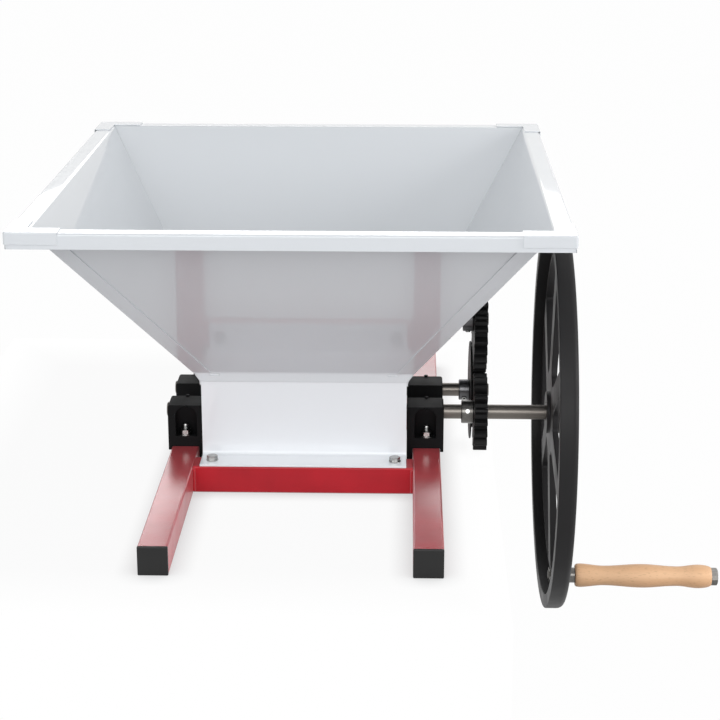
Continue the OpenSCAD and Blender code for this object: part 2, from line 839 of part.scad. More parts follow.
module agitator_bush(right) {
  clear = 0.02;
  z0 = agitator_z - bush_shoulder_d;
  z1 = agitator_z + bush_shoulder_d;
  color(moulded_black) mirror_x(!right) difference() {
    union() {
      rod_x(bush_in, bush_out - bush_in, bush_d, agitator_y, agitator_z);
      difference() {
        rod_x(bush_in, bush_out - bush_in, bush_shoulder_d, agitator_y, agitator_z);
        between(z0, [0, wall_x(z0) + sheet_x + clear, -bush_shoulder_d, 2 * bush_shoulder_d],
          z1, [0, wall_x(z1) + sheet_x + clear, -bush_shoulder_d, 2 * bush_shoulder_d]);
      }
    }
    rod_x(bush_in - over, bush_out - bush_in + 2 * over,
      agitator_shaft_d + 2 * run_clear, agitator_y, agitator_z);
  }
}

module agitator_bush_left() {
  agitator_bush(false);
}

module agitator_bush_right() {
  agitator_bush(true);
}

// Shafts and rollers
module roller_pin_holes(y, d) {
  for (s = [-1, 1]) translate([s * (roller_length / 2 - pin_inset), y, shaft_z])
    translate([0, 0, -roller_radius]) cylinder(h = 2 * roller_radius, d = d);
}

module drive_shaft() {
  color(shaft_steel) difference() {
    union() {
      rod_x(shaft_left, hub_end - shaft_left, drive_shaft_d, -shaft_y, shaft_z);
      rod_x(hub_end - over, shaft_right - hub_end + over, thread_d, -shaft_y, shaft_z);
    }
    roller_pin_holes(-shaft_y, pin_d + 2 * seat_clear);
    box(hub_x, hub_end + over, -shaft_y - key_width / 2, -shaft_y + key_width / 2,
      shaft_z + drive_shaft_d / 2 - key_rise, shaft_z + drive_shaft_d);
  }
}

module driven_shaft() {
  color(shaft_steel) difference() {
    rod_x(shaft_left, gear_end + driven_stub - shaft_left, driven_shaft_d, shaft_y, shaft_z);
    roller_pin_holes(shaft_y, pin_d + 2 * seat_clear);
  }
}

module roller(y, shaft_d) {
  color(aluminium) difference() {
    rod_x(-roller_length / 2, roller_length, 2 * roller_radius, y, shaft_z);
    rod_x(-roller_length / 2 - over, roller_length + 2 * over, shaft_d + 2 * seat_clear, y, shaft_z);
    along_x(-roller_length / 2 - over, y, shaft_z) for (i = [0:flutes - 1])
      rotate((i + 0.5) * 360 / flutes) translate([roller_radius + flute_radius - flute_depth, 0, 0])
        cylinder(h = roller_length + 2 * over, r = flute_radius);
    roller_pin_holes(y, pin_d + 2 * seat_clear);
  }
}

module drive_roller() {
  roller(-shaft_y, drive_shaft_d);
}

module driven_roller() {
  roller(shaft_y, driven_shaft_d);
}

module roller_pins(y) {
  length = 2 * (roller_radius - pin_sink);
  color(zinc) for (s = [-1, 1])
    translate([s * (roller_length / 2 - pin_inset), y, shaft_z - length / 2])
      cylinder(h = length, d = pin_d);
}

module drive_roller_pins() {
  roller_pins(-shaft_y);
}

module driven_roller_pins() {
  roller_pins(shaft_y);
}

// Gears and hubs
module drive_gear() {
  color(cast_black) gear_body(pinion_teeth, drive_shaft_d, 0, -shaft_y, shaft_z);
}

module drive_hub() {
  color(zinc) hub_ring(gear_x - drive_hub_length, drive_hub_length, drive_hub_d, drive_shaft_d,
    -shaft_y, shaft_z, drive_screw_angle);
}

module drive_hub_screw() {
  color(zinc) set_screw(gear_x - drive_hub_length / 2, -shaft_y, shaft_z, drive_screw_angle,
    drive_shaft_d, drive_hub_d);
}

module driven_gear() {
  color(cast_black) {
    gear_body(pinion_teeth, driven_shaft_d, pinion_phase, shaft_y, shaft_z);
    difference() {
      rod_x(gear_x - disc_gap, disc_gap, driven_hub_d, shaft_y, shaft_z);
      rod_x(gear_x - over, 2 * over, driven_shaft_d + 2 * seat_clear, shaft_y, shaft_z);
    }
  }
}

module guide_disc() {
  color(cast_black) difference() {
    rod_x(disc_x, disc_t, 2 * disc_radius, shaft_y, shaft_z);
    rod_x(disc_x - over, disc_t + 2 * over, driven_shaft_d + 2 * seat_clear, shaft_y, shaft_z);
  }
}

module driven_collar() {
  color(shaft_steel) hub_ring(disc_x - driven_hub_length, driven_hub_length, driven_hub_d,
    driven_shaft_d, shaft_y, shaft_z, driven_screw_angle);
}

module driven_collar_screw() {
  color(zinc) set_screw(disc_x - driven_hub_length / 2, shaft_y, shaft_z, driven_screw_angle,
    driven_shaft_d, driven_hub_d);
}

module agitator_gear() {
  color(cast_black) gear_body(agitator_teeth, agitator_shaft_d, agitator_phase, agitator_y, agitator_z);
}

module agitator_hub() {
  color(shaft_steel) hub_ring(gear_x - agitator_hub_length, agitator_hub_length, agitator_hub_d,
    agitator_shaft_d, agitator_y, agitator_z, agitator_screw_angle);
}

module agitator_hub_screw() {
  color(zinc) set_screw(gear_x - agitator_hub_length / 2, agitator_y, agitator_z, agitator_screw_angle,
    agitator_shaft_d, agitator_hub_d);
}

// Agitator
retainer_x = -bush_out - end_float - retainer_width;

module agitator_shaft() {
  color(shaft_steel) rod_x(retainer_x - agitator_stub, gear_end - retainer_x + 2 * agitator_stub,
    agitator_shaft_d, agitator_y, agitator_z);
}

module agitator_paddles() {
  first = -(paddles - 1) / 2 * paddle_pitch;
  color(zinc) difference() {
    for (i = [0:paddles - 1])
      along_x(first + i * paddle_pitch - paddle_width / 2, agitator_y, agitator_z)
        rotate(45 + i * 90) translate([0, -paddle_t / 2, 0])
          cube([paddle_radius, paddle_t, paddle_width]);
    rod_x(-throat_x, 2 * throat_x, agitator_shaft_d + 2 * seat_clear, agitator_y, agitator_z);
  }
}

module agitator_retainer() {
  color(shaft_steel) difference() {
    rod_x(retainer_x, retainer_width, agitator_hub_d, agitator_y, agitator_z);
    rod_x(retainer_x - over, retainer_width + 2 * over, agitator_shaft_d + 2 * seat_clear,
      agitator_y, agitator_z);
  }
}

// Flywheel
module window_outline() {
  offset(r = window_radius, $fn = 32) offset(delta = -window_radius) difference() {
    circle(r = window_outer);
    circle(r = window_inner);
    for (i = [0:spokes - 1]) rotate(spoke_angle + i * 360 / spokes)
      translate([0, -spoke_width / 2]) square([wheel_radius, spoke_width]);
  }
}

// Place of the middle of the rounded shoulder, as shares of its drop and length
bulge_drop = 0.28;
bulge_length = 0.35;

module flywheel() {
  color(cast_black) difference() {
    along_x(wheel_x, -shaft_y, shaft_z) difference() {
      rotate_extrude() {
        polygon([
          [rim_inner, 0], [wheel_radius, 0], [wheel_radius, wheel_width - shoulder_length],
          [wheel_radius - bulge_drop * shoulder_drop, wheel_width - bulge_length * shoulder_length],
          [wheel_radius - shoulder_drop, wheel_width], [rim_inner, wheel_width]
        ]);
        polygon([
          [hub_radius - over, web_hub_inset], [window_outer, web_inset - web_bead],
          [bead_outer, web_inset - web_bead], [bead_outer, web_inset], [rim_inner + over, web_inset],
          [rim_inner + over, web_inset + web_t], [window_outer, web_inset + web_t],
          [hub_radius - over, web_hub_inset + web_t + web_swell]
        ]);
        translate([drive_shaft_d / 2 + seat_clear, hub_inset])
          square([hub_radius - drive_shaft_d / 2 - seat_clear, hub_length]);
      }
      linear_extrude(wheel_width + 2 * over) window_outline();
      rotate(handle_angle) translate([handle_radius, 0, 0])
        cylinder(h = wheel_width + 2 * over, d = handle_bolt_d + hole_clear);
    }
    box(hub_x - over, hub_end + over, -shaft_y - key_width / 2 - seat_clear,
      -shaft_y + key_width / 2 + seat_clear, shaft_z, shaft_z + drive_shaft_d / 2 + key_rise + seat_clear);
  }
}

module wheel_key() {
  color(shaft_steel) box(hub_x, hub_end, -shaft_y - key_width / 2, -shaft_y + key_width / 2,
    shaft_z + drive_shaft_d / 2 - key_rise, shaft_z + drive_shaft_d / 2 + key_rise);
}

module wheel_washer() {
  color(zinc) along_x(hub_end, -shaft_y, shaft_z)
    washer(thread_d, washer_d(thread_d), wheel_nut_x - hub_end);
}

module wheel_nut() {
  color(zinc) along_x(wheel_nut_x, -shaft_y, shaft_z) nut(thread_d, nut_height(thread_d));
}

// Handle
module handle_bolt() {
  start = web_x - inner_nut_t - nut_stub;
  color(zinc) {
    rod_x(start, grip_end + end_float - start, handle_bolt_d, handle_y, handle_z);
    along_x(grip_end + end_float, handle_y, handle_z)
      hexagon(nut_flats(handle_bolt_d), head_height(handle_bolt_d));
  }
}

module handle_inner_nut() {
  color(zinc) along_x(web_x - inner_nut_t, handle_y, handle_z) nut(handle_bolt_d, inner_nut_t);
}

module handle_outer_nut() {
  color(zinc) along_x(web_out, handle_y, handle_z) nut(handle_bolt_d, nut_height(handle_bolt_d));
}

module handle_washer() {
  color(zinc) along_x(spacer_x - washer_t, handle_y, handle_z)
    washer(handle_bolt_d, washer_d(handle_bolt_d), washer_t);
}

module handle_spacer() {
  color(zinc) along_x(spacer_x, handle_y, handle_z)
    washer(handle_bolt_d, nut_flats(handle_bolt_d), spacer_length);
}

// Grip profile: places along the grip as shares of its length, with the radius there
grip_shape = [[0.03, 1], [0.21, 0], [0.49, 1], [0.75, 0], [0.905, 1]];
function blend(a, b, t) = a + (b - a) * (1 - cos(180 * t)) / 2;
function grip_size(s) = grip_waist + (grip_radius - grip_waist) * s;
grip_steps = 5;
grip_foot = 1.5;
grip_round = 4;
round_steps = 5;
round_start = grip_shape[len(grip_shape) - 1][0];
round_reach = 90 * round_steps / (round_steps + 1);
grip_outline = concat(
  [[0, 0], [grip_radius - grip_foot, 0]],
  [for (i = [0:len(grip_shape) - 2], j = [0:grip_steps - 1]) let (t = j / grip_steps) [
    grip_size(blend(grip_shape[i][1], grip_shape[i + 1][1], t)),
    grip_length * (grip_shape[i][0] + (grip_shape[i + 1][0] - grip_shape[i][0]) * t)
  ]],
  [for (i = [0:round_steps]) let (a = round_reach * i / round_steps) [
    grip_radius - grip_round + grip_round * cos(a),
    grip_length * (1 - (1 - round_start) * (1 - sin(a) / sin(round_reach)))
  ]],
  [[0, grip_length]]
);

module handle_grip() {
  color(beech) along_x(grip_x, handle_y, handle_z) difference() {
    rotate_extrude() polygon(grip_outline);
    translate([0, 0, -over])
      cylinder(h = grip_length + 2 * over, d = handle_bolt_d + 2 * run_clear);
  }
}

left_rail();
right_rail();
front_crossbar();
rear_crossbar();
frame_welds();
rail_end_caps();
bearing_block_front_left();
bearing_block_front_right();
bearing_block_rear_left();
bearing_block_rear_right();
block_bolts();
block_nuts();
block_washers();
front_plate();
rear_plate();
left_throat_plate();
right_throat_plate();
plate_bolts();
plate_washers();
plate_rivet_nuts();
hopper_front();
hopper_rear();
hopper_left();
hopper_right();
corner_strips();
rim_corner_caps();
agitator_bush_left();
agitator_bush_right();
drive_shaft();
drive_roller();
drive_roller_pins();
drive_gear();
drive_hub();
drive_hub_screw();
flywheel();
wheel_key();
wheel_washer();
wheel_nut();
handle_bolt();
handle_inner_nut();
handle_outer_nut();
handle_washer();
handle_spacer();
handle_grip();
driven_shaft();
driven_roller();
driven_roller_pins();
driven_gear();
driven_collar();
driven_collar_screw();
guide_disc();
agitator_shaft();
agitator_paddles();
agitator_gear();
agitator_hub();
agitator_hub_screw();
agitator_retainer();
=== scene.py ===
"""Hand-cranked grape crusher: a sheet-metal hopper over two rollers on a red tube frame, with gears and a
crank wheel."""

import json
from math import cos, pi, radians, sin, sqrt

import bmesh
import bpy
from mathutils import Matrix, Vector

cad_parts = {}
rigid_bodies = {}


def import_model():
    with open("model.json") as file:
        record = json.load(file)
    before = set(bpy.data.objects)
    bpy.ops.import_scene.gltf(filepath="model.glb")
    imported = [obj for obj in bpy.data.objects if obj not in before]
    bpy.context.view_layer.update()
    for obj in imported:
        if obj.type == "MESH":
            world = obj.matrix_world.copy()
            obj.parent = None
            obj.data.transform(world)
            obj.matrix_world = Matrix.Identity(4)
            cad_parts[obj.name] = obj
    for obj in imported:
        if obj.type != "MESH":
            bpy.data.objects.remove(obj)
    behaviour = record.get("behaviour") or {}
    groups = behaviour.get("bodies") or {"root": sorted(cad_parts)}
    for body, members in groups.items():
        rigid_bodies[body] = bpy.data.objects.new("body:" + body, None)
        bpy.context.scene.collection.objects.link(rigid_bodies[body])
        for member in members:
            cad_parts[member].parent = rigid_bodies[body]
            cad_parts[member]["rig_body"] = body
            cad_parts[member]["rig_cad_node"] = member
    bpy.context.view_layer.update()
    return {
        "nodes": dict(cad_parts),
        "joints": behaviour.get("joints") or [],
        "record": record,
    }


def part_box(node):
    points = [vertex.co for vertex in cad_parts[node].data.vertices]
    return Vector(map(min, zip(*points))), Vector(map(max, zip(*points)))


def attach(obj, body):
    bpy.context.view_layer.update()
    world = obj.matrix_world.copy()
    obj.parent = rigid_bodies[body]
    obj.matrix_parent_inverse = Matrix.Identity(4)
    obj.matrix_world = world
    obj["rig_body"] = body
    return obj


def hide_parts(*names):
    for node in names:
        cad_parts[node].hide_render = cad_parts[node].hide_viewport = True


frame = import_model()

BODY = {node: body for body, nodes in frame["record"]["behaviour"]["bodies"].items() for node in nodes}
AXIS = {joint["child"]: joint["pos_m"] for joint in frame["joints"]}

FIT = 0.00001  # between two pieces that touch
TURNING_GAP = 0.00008  # round a shaft or bolt that turns in its hole
BOLT_GAP = 0.00015  # round a bolt that doesn't turn
PAST = 0.001  # how far a cutter reaches past a face
THROUGH = 0.01  # how far a long cutter reaches past both ends
NEAR = 0.00001  # places closer than this count as one
FOLD = 0.2  # a sheet's edges that bend more than this, in radians, are folds


def low(node):
    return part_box(node)[0]


def high(node):
    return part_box(node)[1]


def span(node):
    return high(node) - low(node)


def shaft_radius(body):
    return high(body + "_shaft").z - AXIS[body][2]


# Modelling moves

def only(obj=None):
    """Leaves edit mode and makes obj the one selected, active object."""
    if bpy.context.object and bpy.context.object.mode != "OBJECT":
        bpy.ops.object.mode_set(mode="OBJECT")
    bpy.ops.object.select_all(action="DESELECT")
    if obj:
        obj.select_set(True)
        bpy.context.view_layer.objects.active = obj
    return obj


def settle(obj):
    """Moves an object's place, turn and scale into its mesh."""
    only(obj)
    bpy.ops.object.transform_apply(location=True, rotation=True, scale=True)
    return obj


def pick_all(obj):
    """Enters edit mode with the whole mesh selected."""
    only(obj)
    bpy.ops.object.mode_set(mode="EDIT")
    bpy.ops.mesh.select_all(action="SELECT")


def pick(obj, kind, test):
    """Enters edit mode with just the vertices, edges or faces selected that pass the test."""
    only(obj)
    bpy.ops.object.mode_set(mode="EDIT")
    bpy.ops.mesh.select_mode(type=kind)
    bpy.ops.mesh.select_all(action="DESELECT")
    shape = bmesh.from_edit_mesh(obj.data)
    for part in {"VERT": shape.verts, "EDGE": shape.edges, "FACE": shape.faces}[kind]:
        if test(part):
            part.select_set(True)
    shape.select_flush_mode()
    bmesh.update_edit_mesh(obj.data)


def middle(edge):
    return (edge.verts[0].co + edge.verts[1].co) / 2


def runs_along(edge, axis):
    """True if an edge is parallel to that axis, 0, 1 or 2."""
    line = edge.verts[1].co - edge.verts[0].co
    return abs(line[axis]) > 0.999 * line.length


def extrude(x=0.0, y=0.0, z=0.0):
    """Extrudes what is selected by that much."""
    bpy.ops.mesh.extrude_region_move(TRANSFORM_OT_translate={"value": (x, y, z)})


def bevel_edges(obj, test, width, segments):
    """Rounds the edges that pass the test."""
    pick(obj, "EDGE", test)
    bpy.ops.mesh.bevel(offset=width, segments=segments, affect="EDGES")
    return only(obj)


def modify(obj, kind, **settings):
    """Adds a modifier with these settings and applies it."""
    only(obj)
    modifier = obj.modifiers.new(kind.title(), kind)
    for name, value in settings.items():
        setattr(modifier, name, value)
    bpy.ops.object.modifier_apply(modifier=modifier.name)
    return obj


def cut(obj, *cutters, operation="DIFFERENCE"):
    """Takes the cutters away from obj, or does another boolean with them, and deletes them."""
    for cutter in cutters:
        modify(obj, "BOOLEAN", object=cutter, operation=operation)
        bpy.data.objects.remove(cutter)
    return obj


def soften(obj, width, segments=2, angle=30):
    """Rounds every edge that bends by more than the angle."""
    return modify(obj, "BEVEL", width=width, segments=segments, limit_method="ANGLE",
                  angle_limit=radians(angle), use_clamp_overlap=False)


def shift(x=0.0, y=0.0, z=0.0):
    return Matrix.Translation((x, y, z))


def turn(angle, axis):
    return Matrix.Rotation(radians(angle), 4, axis)


def flip(axis):
    """Mirror in the middle plane across that axis, 0, 1 or 2."""
    return Matrix.Scale(-1, 4, [1 if i == axis else 0 for i in range(3)])


STILL = Matrix.Identity(4)
ALONG_X = turn(90, "Y") @ turn(90, "Z")
UPRIGHT = ALONG_X.inverted()


def moved(obj, matrix):
    """Moves an object's mesh. One that is mirrored keeps its faces outward."""
    obj.data.transform(matrix)
    if matrix.determinant() < 0:
        obj.data.flip_normals()
    return obj


def copy(obj, matrix=STILL):
    """A twin with its own mesh, moved by the matrix."""
    twin = obj.copy()
    twin.data = obj.data.copy()
    bpy.context.scene.collection.objects.link(twin)
    return moved(twin, matrix)


def join(objects):
    """Makes one object of several."""
    only(objects[0])
    for obj in objects:
        obj.select_set(True)
    bpy.ops.object.join()
    return objects[0]


def at_places(obj, matrices):
    """One object made of copies of obj at these places."""
    twins = [copy(obj, matrix) for matrix in matrices]
    bpy.data.objects.remove(obj)
    return join(twins)


# Starting shapes

def block(lowest, highest):
    """A cube stretched between two corners."""
    only()
    lowest, highest = Vector(lowest), Vector(highest)
    bpy.ops.mesh.primitive_cube_add(size=1, location=(lowest + highest) / 2)
    obj = bpy.context.object
    obj.scale = highest - lowest
    return settle(obj)


def peg(radius, z0, z1, x=0.0, y=0.0, sides=24, spin=0.0):
    """Upright cylinder between two heights."""
    only()
    bpy.ops.mesh.primitive_cylinder_add(vertices=sides, radius=radius, depth=z1 - z0,
                                        location=(x, y, (z0 + z1) / 2), rotation=(0, 0, spin))
    return settle(bpy.context.object)


def drill(obj, x, y, z0, z1, radius):
    """Cuts an upright round hole."""
    return cut(obj, peg(radius, z0, z1, x, y))


def lathe(stations, y=0.0, z=0.0, sides=48, ring=False):
    """Turned piece about an axis along X: (x, radius) stations from one end to the other, or all round a
    ring."""
    only()
    x, radius = stations[0]
    bpy.ops.mesh.primitive_circle_add(vertices=sides, radius=radius, location=(x, y, z),
                                      rotation=(0, pi / 2, 0))
    obj = settle(bpy.context.object)
    pick_all(obj)
    for next_x, next_radius in stations[1:] + (stations[:1] if ring else []):
        extrude(next_x - x)
        share = next_radius / radius
        bpy.ops.transform.resize(value=(1, share, share), center_override=(next_x, y, z))
        x, radius = next_x, next_radius
    bpy.ops.mesh.select_all(action="SELECT")
    if ring:
        bpy.ops.mesh.remove_doubles(threshold=0.000001)
    else:
        bpy.ops.mesh.fill_holes(sides=sides)
    bpy.ops.mesh.normals_make_consistent(inside=False)
    return only(obj)


def rod(x0, x1, radius, y, z, chamfer=0.0, sides=48):
    """Round bar along X, with chamfered ends if a chamfer is given."""
    if not chamfer:
        return lathe([(x0, radius), (x1, radius)], y, z, sides)
    end = radius - chamfer
    return lathe([(x0, end), (x0 + chamfer, radius), (x1 - chamfer, radius), (x1, end)], y, z, sides)


def collar(x0, x1, outer, bore, y, z, chamfer, sides=48):
    """Ring about an axis along X, with chamfered corners."""
    c = chamfer
    return lathe([(x0, bore + c), (x0, outer - c), (x0 + c, outer), (x1 - c, outer), (x1, outer - c),
                  (x1, bore + c), (x1 - c, bore), (x0 + c, bore)], y, z, sides, ring=True)


def sleeve(node, body, outer, bore, chamfer, sides=48):
    """Ring on that body's axis, as long as its node."""
    return collar(low(node).x, high(node).x, outer, bore, *AXIS[body][1:], chamfer, sides)


def bent_sheet(rows, thickness, bend):
    """Folded sheet facing -Y: each row (half length, depth, height) is one line across it, and a bend lies
    at each row where the sheet turns. The rows give the seen side, on the right of the way they go."""
    only()
    bpy.ops.mesh.primitive_plane_add(size=2)
    obj = bpy.context.object
    for side, (half, depth, height) in ((-1, rows[0]), (1, rows[1])):
        pick(obj, "VERT", lambda v, side=side: abs(v.co.z) < 0.0001 and v.co.y == side)
        bpy.ops.transform.resize(value=(half, 1, 1), center_override=(0, side, 0))
        bpy.ops.transform.translate(value=(0, -depth - side, height))
    for (half, depth, height), (new_half, new_depth, new_height) in zip(rows[1:], rows[2:]):
        pick(obj, "VERT", lambda v: (v.co.yz - Vector((-depth, height))).length < NEAR)
        extrude(0, depth - new_depth, new_height - height)
        bpy.ops.transform.resize(value=(new_half / half, 1, 1), center_override=(0, -new_depth, new_height))
    only(obj)
    rise, run = rows[1][2] - rows[0][2], rows[1][1] - rows[0][1]
    if obj.data.polygons[0].normal.dot(Vector((0, rise, run))) < 0:
        obj.data.flip_normals()
    bevel_edges(obj, lambda e: len(e.link_faces) == 2 and e.calc_face_angle(0) > FOLD, bend, 4)
    return modify(obj, "SOLIDIFY", thickness=thickness, offset=-1, use_even_offset=True)


def from_cad(node, bevel, angle=30):
    """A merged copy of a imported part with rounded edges."""
    obj = copy(frame["nodes"][node])
    obj.parent = None
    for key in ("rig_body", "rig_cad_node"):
        del obj[key]
    pick_all(obj)
    bpy.ops.mesh.remove_doubles(threshold=0.000002)
    bpy.ops.mesh.dissolve_limited(angle_limit=radians(0.5))
    only(obj)
    return soften(obj, bevel, angle=angle)


# Finished pieces

def piece(obj, name, material, node, smooth=35):
    """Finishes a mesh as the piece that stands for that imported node."""
    obj.name = obj.data.name = name
    pick_all(obj)
    bpy.ops.mesh.remove_doubles(threshold=0.000001)
    bpy.ops.mesh.normals_make_consistent(inside=False)
    only(obj)
    bpy.ops.object.shade_smooth_by_angle(angle=radians(smooth))
    modify(obj, "WEIGHTED_NORMAL", keep_sharp=True)
    obj.data.materials.clear()
    obj.data.materials.append(material)
    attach(obj, BODY[node])
    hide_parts(node)
    return obj


def pair(obj, axis, ending, material, node, twin_node):
    """Finishes a mesh and its mirror image across that axis, each named for its node with that ending."""
    twin = copy(obj, flip(axis))
    piece(obj, node + ending, material, node)
    piece(twin, twin_node + ending, material, twin_node)


# Shader building

def add(tree, kind, inputs=None, **settings):
    """Adds a shader node; an input that is given a socket is linked to it."""
    node = tree.nodes.new("ShaderNode" + kind)
    for name, value in settings.items():
        setattr(node, name, value)
    for name, value in (inputs or {}).items():
        if isinstance(value, bpy.types.NodeSocket):
            tree.links.new(value, node.inputs[name])
        else:
            node.inputs[name].default_value = value
    return node


def node_group(name, inputs, outputs):
    """An empty shader node group with named sockets: returns its tree, its inputs and its output node."""
    tree = bpy.data.node_groups.new(name, "ShaderNodeTree")
    for label, kind, value in inputs:
        socket = tree.interface.new_socket(label, in_out="INPUT", socket_type="NodeSocket" + kind)
        socket.default_value = value
    for label, kind in outputs:
        tree.interface.new_socket(label, in_out="OUTPUT", socket_type="NodeSocket" + kind)
    return tree, tree.nodes.new("NodeGroupInput").outputs, tree.nodes.new("NodeGroupOutput")


def use(tree, group, **inputs):
    """Places a node group in a tree and returns its outputs."""
    return add(tree, "Group", inputs, node_tree=group).outputs


def wire(tree, node, **sockets):
    """Links sockets to a node's inputs. Spaces in their names are written as underscores."""
    for name, socket in sockets.items():
        tree.links.new(socket, node.inputs[name.replace("_", " ")])


def object_place(tree):
    return add(tree, "TexCoord").outputs["Object"]


def mapped(tree, place, location=(0, 0, 0), scale=(1, 1, 1)):
    return add(tree, "Mapping", {"Vector": place, "Location": location, "Scale": scale}).outputs[0]


def noise(tree, scale, detail, roughness=0.5, place=None):
    return add(tree, "TexNoise", {"Vector": place or object_place(tree), "Scale": scale, "Detail": detail,
                                  "Roughness": roughness}).outputs["Fac"]


def bump(tree, height, distance, strength=1.0, **settings):
    return add(tree, "Bump", {"Height": height, "Distance": distance, "Strength": strength},
               **settings).outputs[0]


def calculate(tree, operation, first, second, **settings):
    return add(tree, "Math", {0: first, 1: second}, operation=operation, **settings).outputs[0]


def remap(tree, value, low_in, high_in, low_out, high_out):
    return add(tree, "MapRange", {"Value": value, "From Min": low_in, "From Max": high_in,
                                  "To Min": low_out, "To Max": high_out}).outputs["Result"]


def drift(tree, pattern, value, spread):
    """Follows a noise from the spread below a value to the spread above it."""
    least = calculate(tree, "SUBTRACT", value, spread)
    most = calculate(tree, "ADD", value, spread)
    return remap(tree, pattern, 0.3, 0.7, least, most)


def blend(tree, share, first, second):
    """Goes from the first colour to the second as the share rises."""
    return add(tree, "Mix", {0: share, 6: first, 7: second}, data_type="RGBA").outputs[2]


def clouds_group():
    """Colour that drifts a little lighter and darker over the surface."""
    tree, given, result = node_group(
        "Cloudy colour",
        [("Colour", "Color", (1, 1, 1, 1)), ("Scale", "Float", 10), ("Amount", "Float", 0.1)],
        [("Colour", "Color")])
    factor = drift(tree, noise(tree, given["Scale"], 4), 1.0, given["Amount"])
    scaled = add(tree, "VectorMath", {0: given["Colour"], "Scale": factor}, operation="SCALE")
    wire(tree, result, Colour=scaled.outputs[0])
    return tree


def skin_group():
    """Fine bumps of paint, plastic or castings, with a matching change of roughness."""
    tree, given, result = node_group(
        "Fine skin", [("Scale", "Float", 500), ("Depth", "Float", 0.00002), ("Roughness", "Float", 0.4),
                      ("Spread", "Float", 0.05), ("Detail", "Float", 2)],
        [("Normal", "Vector"), ("Roughness", "Float")])
    bumps = noise(tree, given["Scale"], given["Detail"])
    rough = drift(tree, noise(tree, 35.0, 5), given["Roughness"], given["Spread"])
    wire(tree, result, Normal=bump(tree, bumps, given["Depth"]), Roughness=rough)
    return tree


def turning_group():
    """Fine rings left by a lathe on a piece that turns about an axis along X."""
    tree, given, result = node_group(
        "Turning rings", [("Scale", "Float", 1200), ("Depth", "Float", 0.000004)],
        [("Normal", "Vector"), ("Mask", "Float")])
    along = mapped(tree, object_place(tree), scale=(1, 0.02, 0.02))
    rings = noise(tree, given["Scale"], 3, 0.7, along)
    wire(tree, result, Normal=bump(tree, rings, given["Depth"]), Mask=rings)
    return tree


clouds = clouds_group()
skin = skin_group()
turning = turning_group()


# Finishes

def material(name, **settings):
    """A material with its Principled shader; plain numbers go straight to the shader's sockets."""
    made = bpy.data.materials.new(name)
    made.use_nodes = True
    shader = made.node_tree.nodes["Principled BSDF"]
    for label, value in settings.items():
        shader.inputs[label.replace("_", " ")].default_value = value
    return made, made.node_tree, shader


def paint(name, colour, cloud_scale, cloud_amount, skin_values, coat_weights=None, **settings):
    """Paint or plastic: cloudy colour under a fine skin. A gloss coat has one weight, or three: it grows from
    the first, where it is seen straight on, to the second at a slant, and ends at the third, edge on."""
    made, tree, shader = material(name, **settings)
    cloudy = use(tree, clouds, Colour=(*colour, 1), Scale=cloud_scale, Amount=cloud_amount)["Colour"]
    surface = use(tree, skin, **skin_values)
    wire(tree, shader, Base_Color=cloudy, Normal=surface["Normal"], Roughness=surface["Roughness"])
    if "Coat_Roughness" in settings:
        wire(tree, shader, Coat_Normal=surface["Normal"])
    if coat_weights:
        straight, slanted, edge_on = coat_weights
        slant = add(tree, "LayerWeight", {"Blend": 0.5}).outputs["Facing"]
        rising = remap(tree, slant, 0.1, 0.65, straight, slanted)
        ending = remap(tree, slant, 0.74, 0.90, slanted, edge_on)
        wire(tree, shader, Coat_Weight=calculate(tree, "MINIMUM", rising, ending))
    return made


def white_enamel(name, colour, specular):
    """Glossy white stove enamel."""
    return paint(name, colour, 3.0, 0.004, dict(Scale=90.0, Depth=0.000004, Roughness=0.30, Spread=0.02),
                 Coat_Weight=1.0, Coat_Roughness=0.03, Specular_IOR_Level=specular)


def metal(name, colour, tint, ring_scale, ring_depth, roughness, spread):
    """Turned or drawn metal whose rings change its colour and gloss a little."""
    made, tree, shader = material(name, Metallic=1.0)
    rings = use(tree, turning, Scale=ring_scale, Depth=ring_depth)
    base = use(tree, clouds, Colour=(*colour, 1), Scale=60.0, Amount=0.12)["Colour"]
    tinted = blend(tree, remap(tree, rings["Mask"], 0.35, 0.65, 0.0, 1.0), base, (*tint, 1))
    rough = remap(tree, rings["Mask"], 0.3, 0.7, roughness - spread, roughness + spread)
    wire(tree, shader, Base_Color=tinted, Roughness=rough, Normal=rings["Normal"])
    return made


def zinc_plated(name, dark, bright):
    """Zinc plate with faint crystals, each of a grey between dark and bright."""
    made, tree, shader = material(name, Metallic=1.0)
    crystals = add(tree, "TexVoronoi", {"Vector": object_place(tree), "Scale": 500.0}).outputs["Color"]
    grey = add(tree, "RGBToBW", {0: crystals}).outputs[0]
    surface = use(tree, skin, Scale=900.0, Depth=0.000006, Roughness=0.26, Spread=0.05)
    wire(tree, shader, Base_Color=blend(tree, grey, (*dark, 1), (*bright, 1)),
         Roughness=surface["Roughness"], Normal=surface["Normal"])
    return made


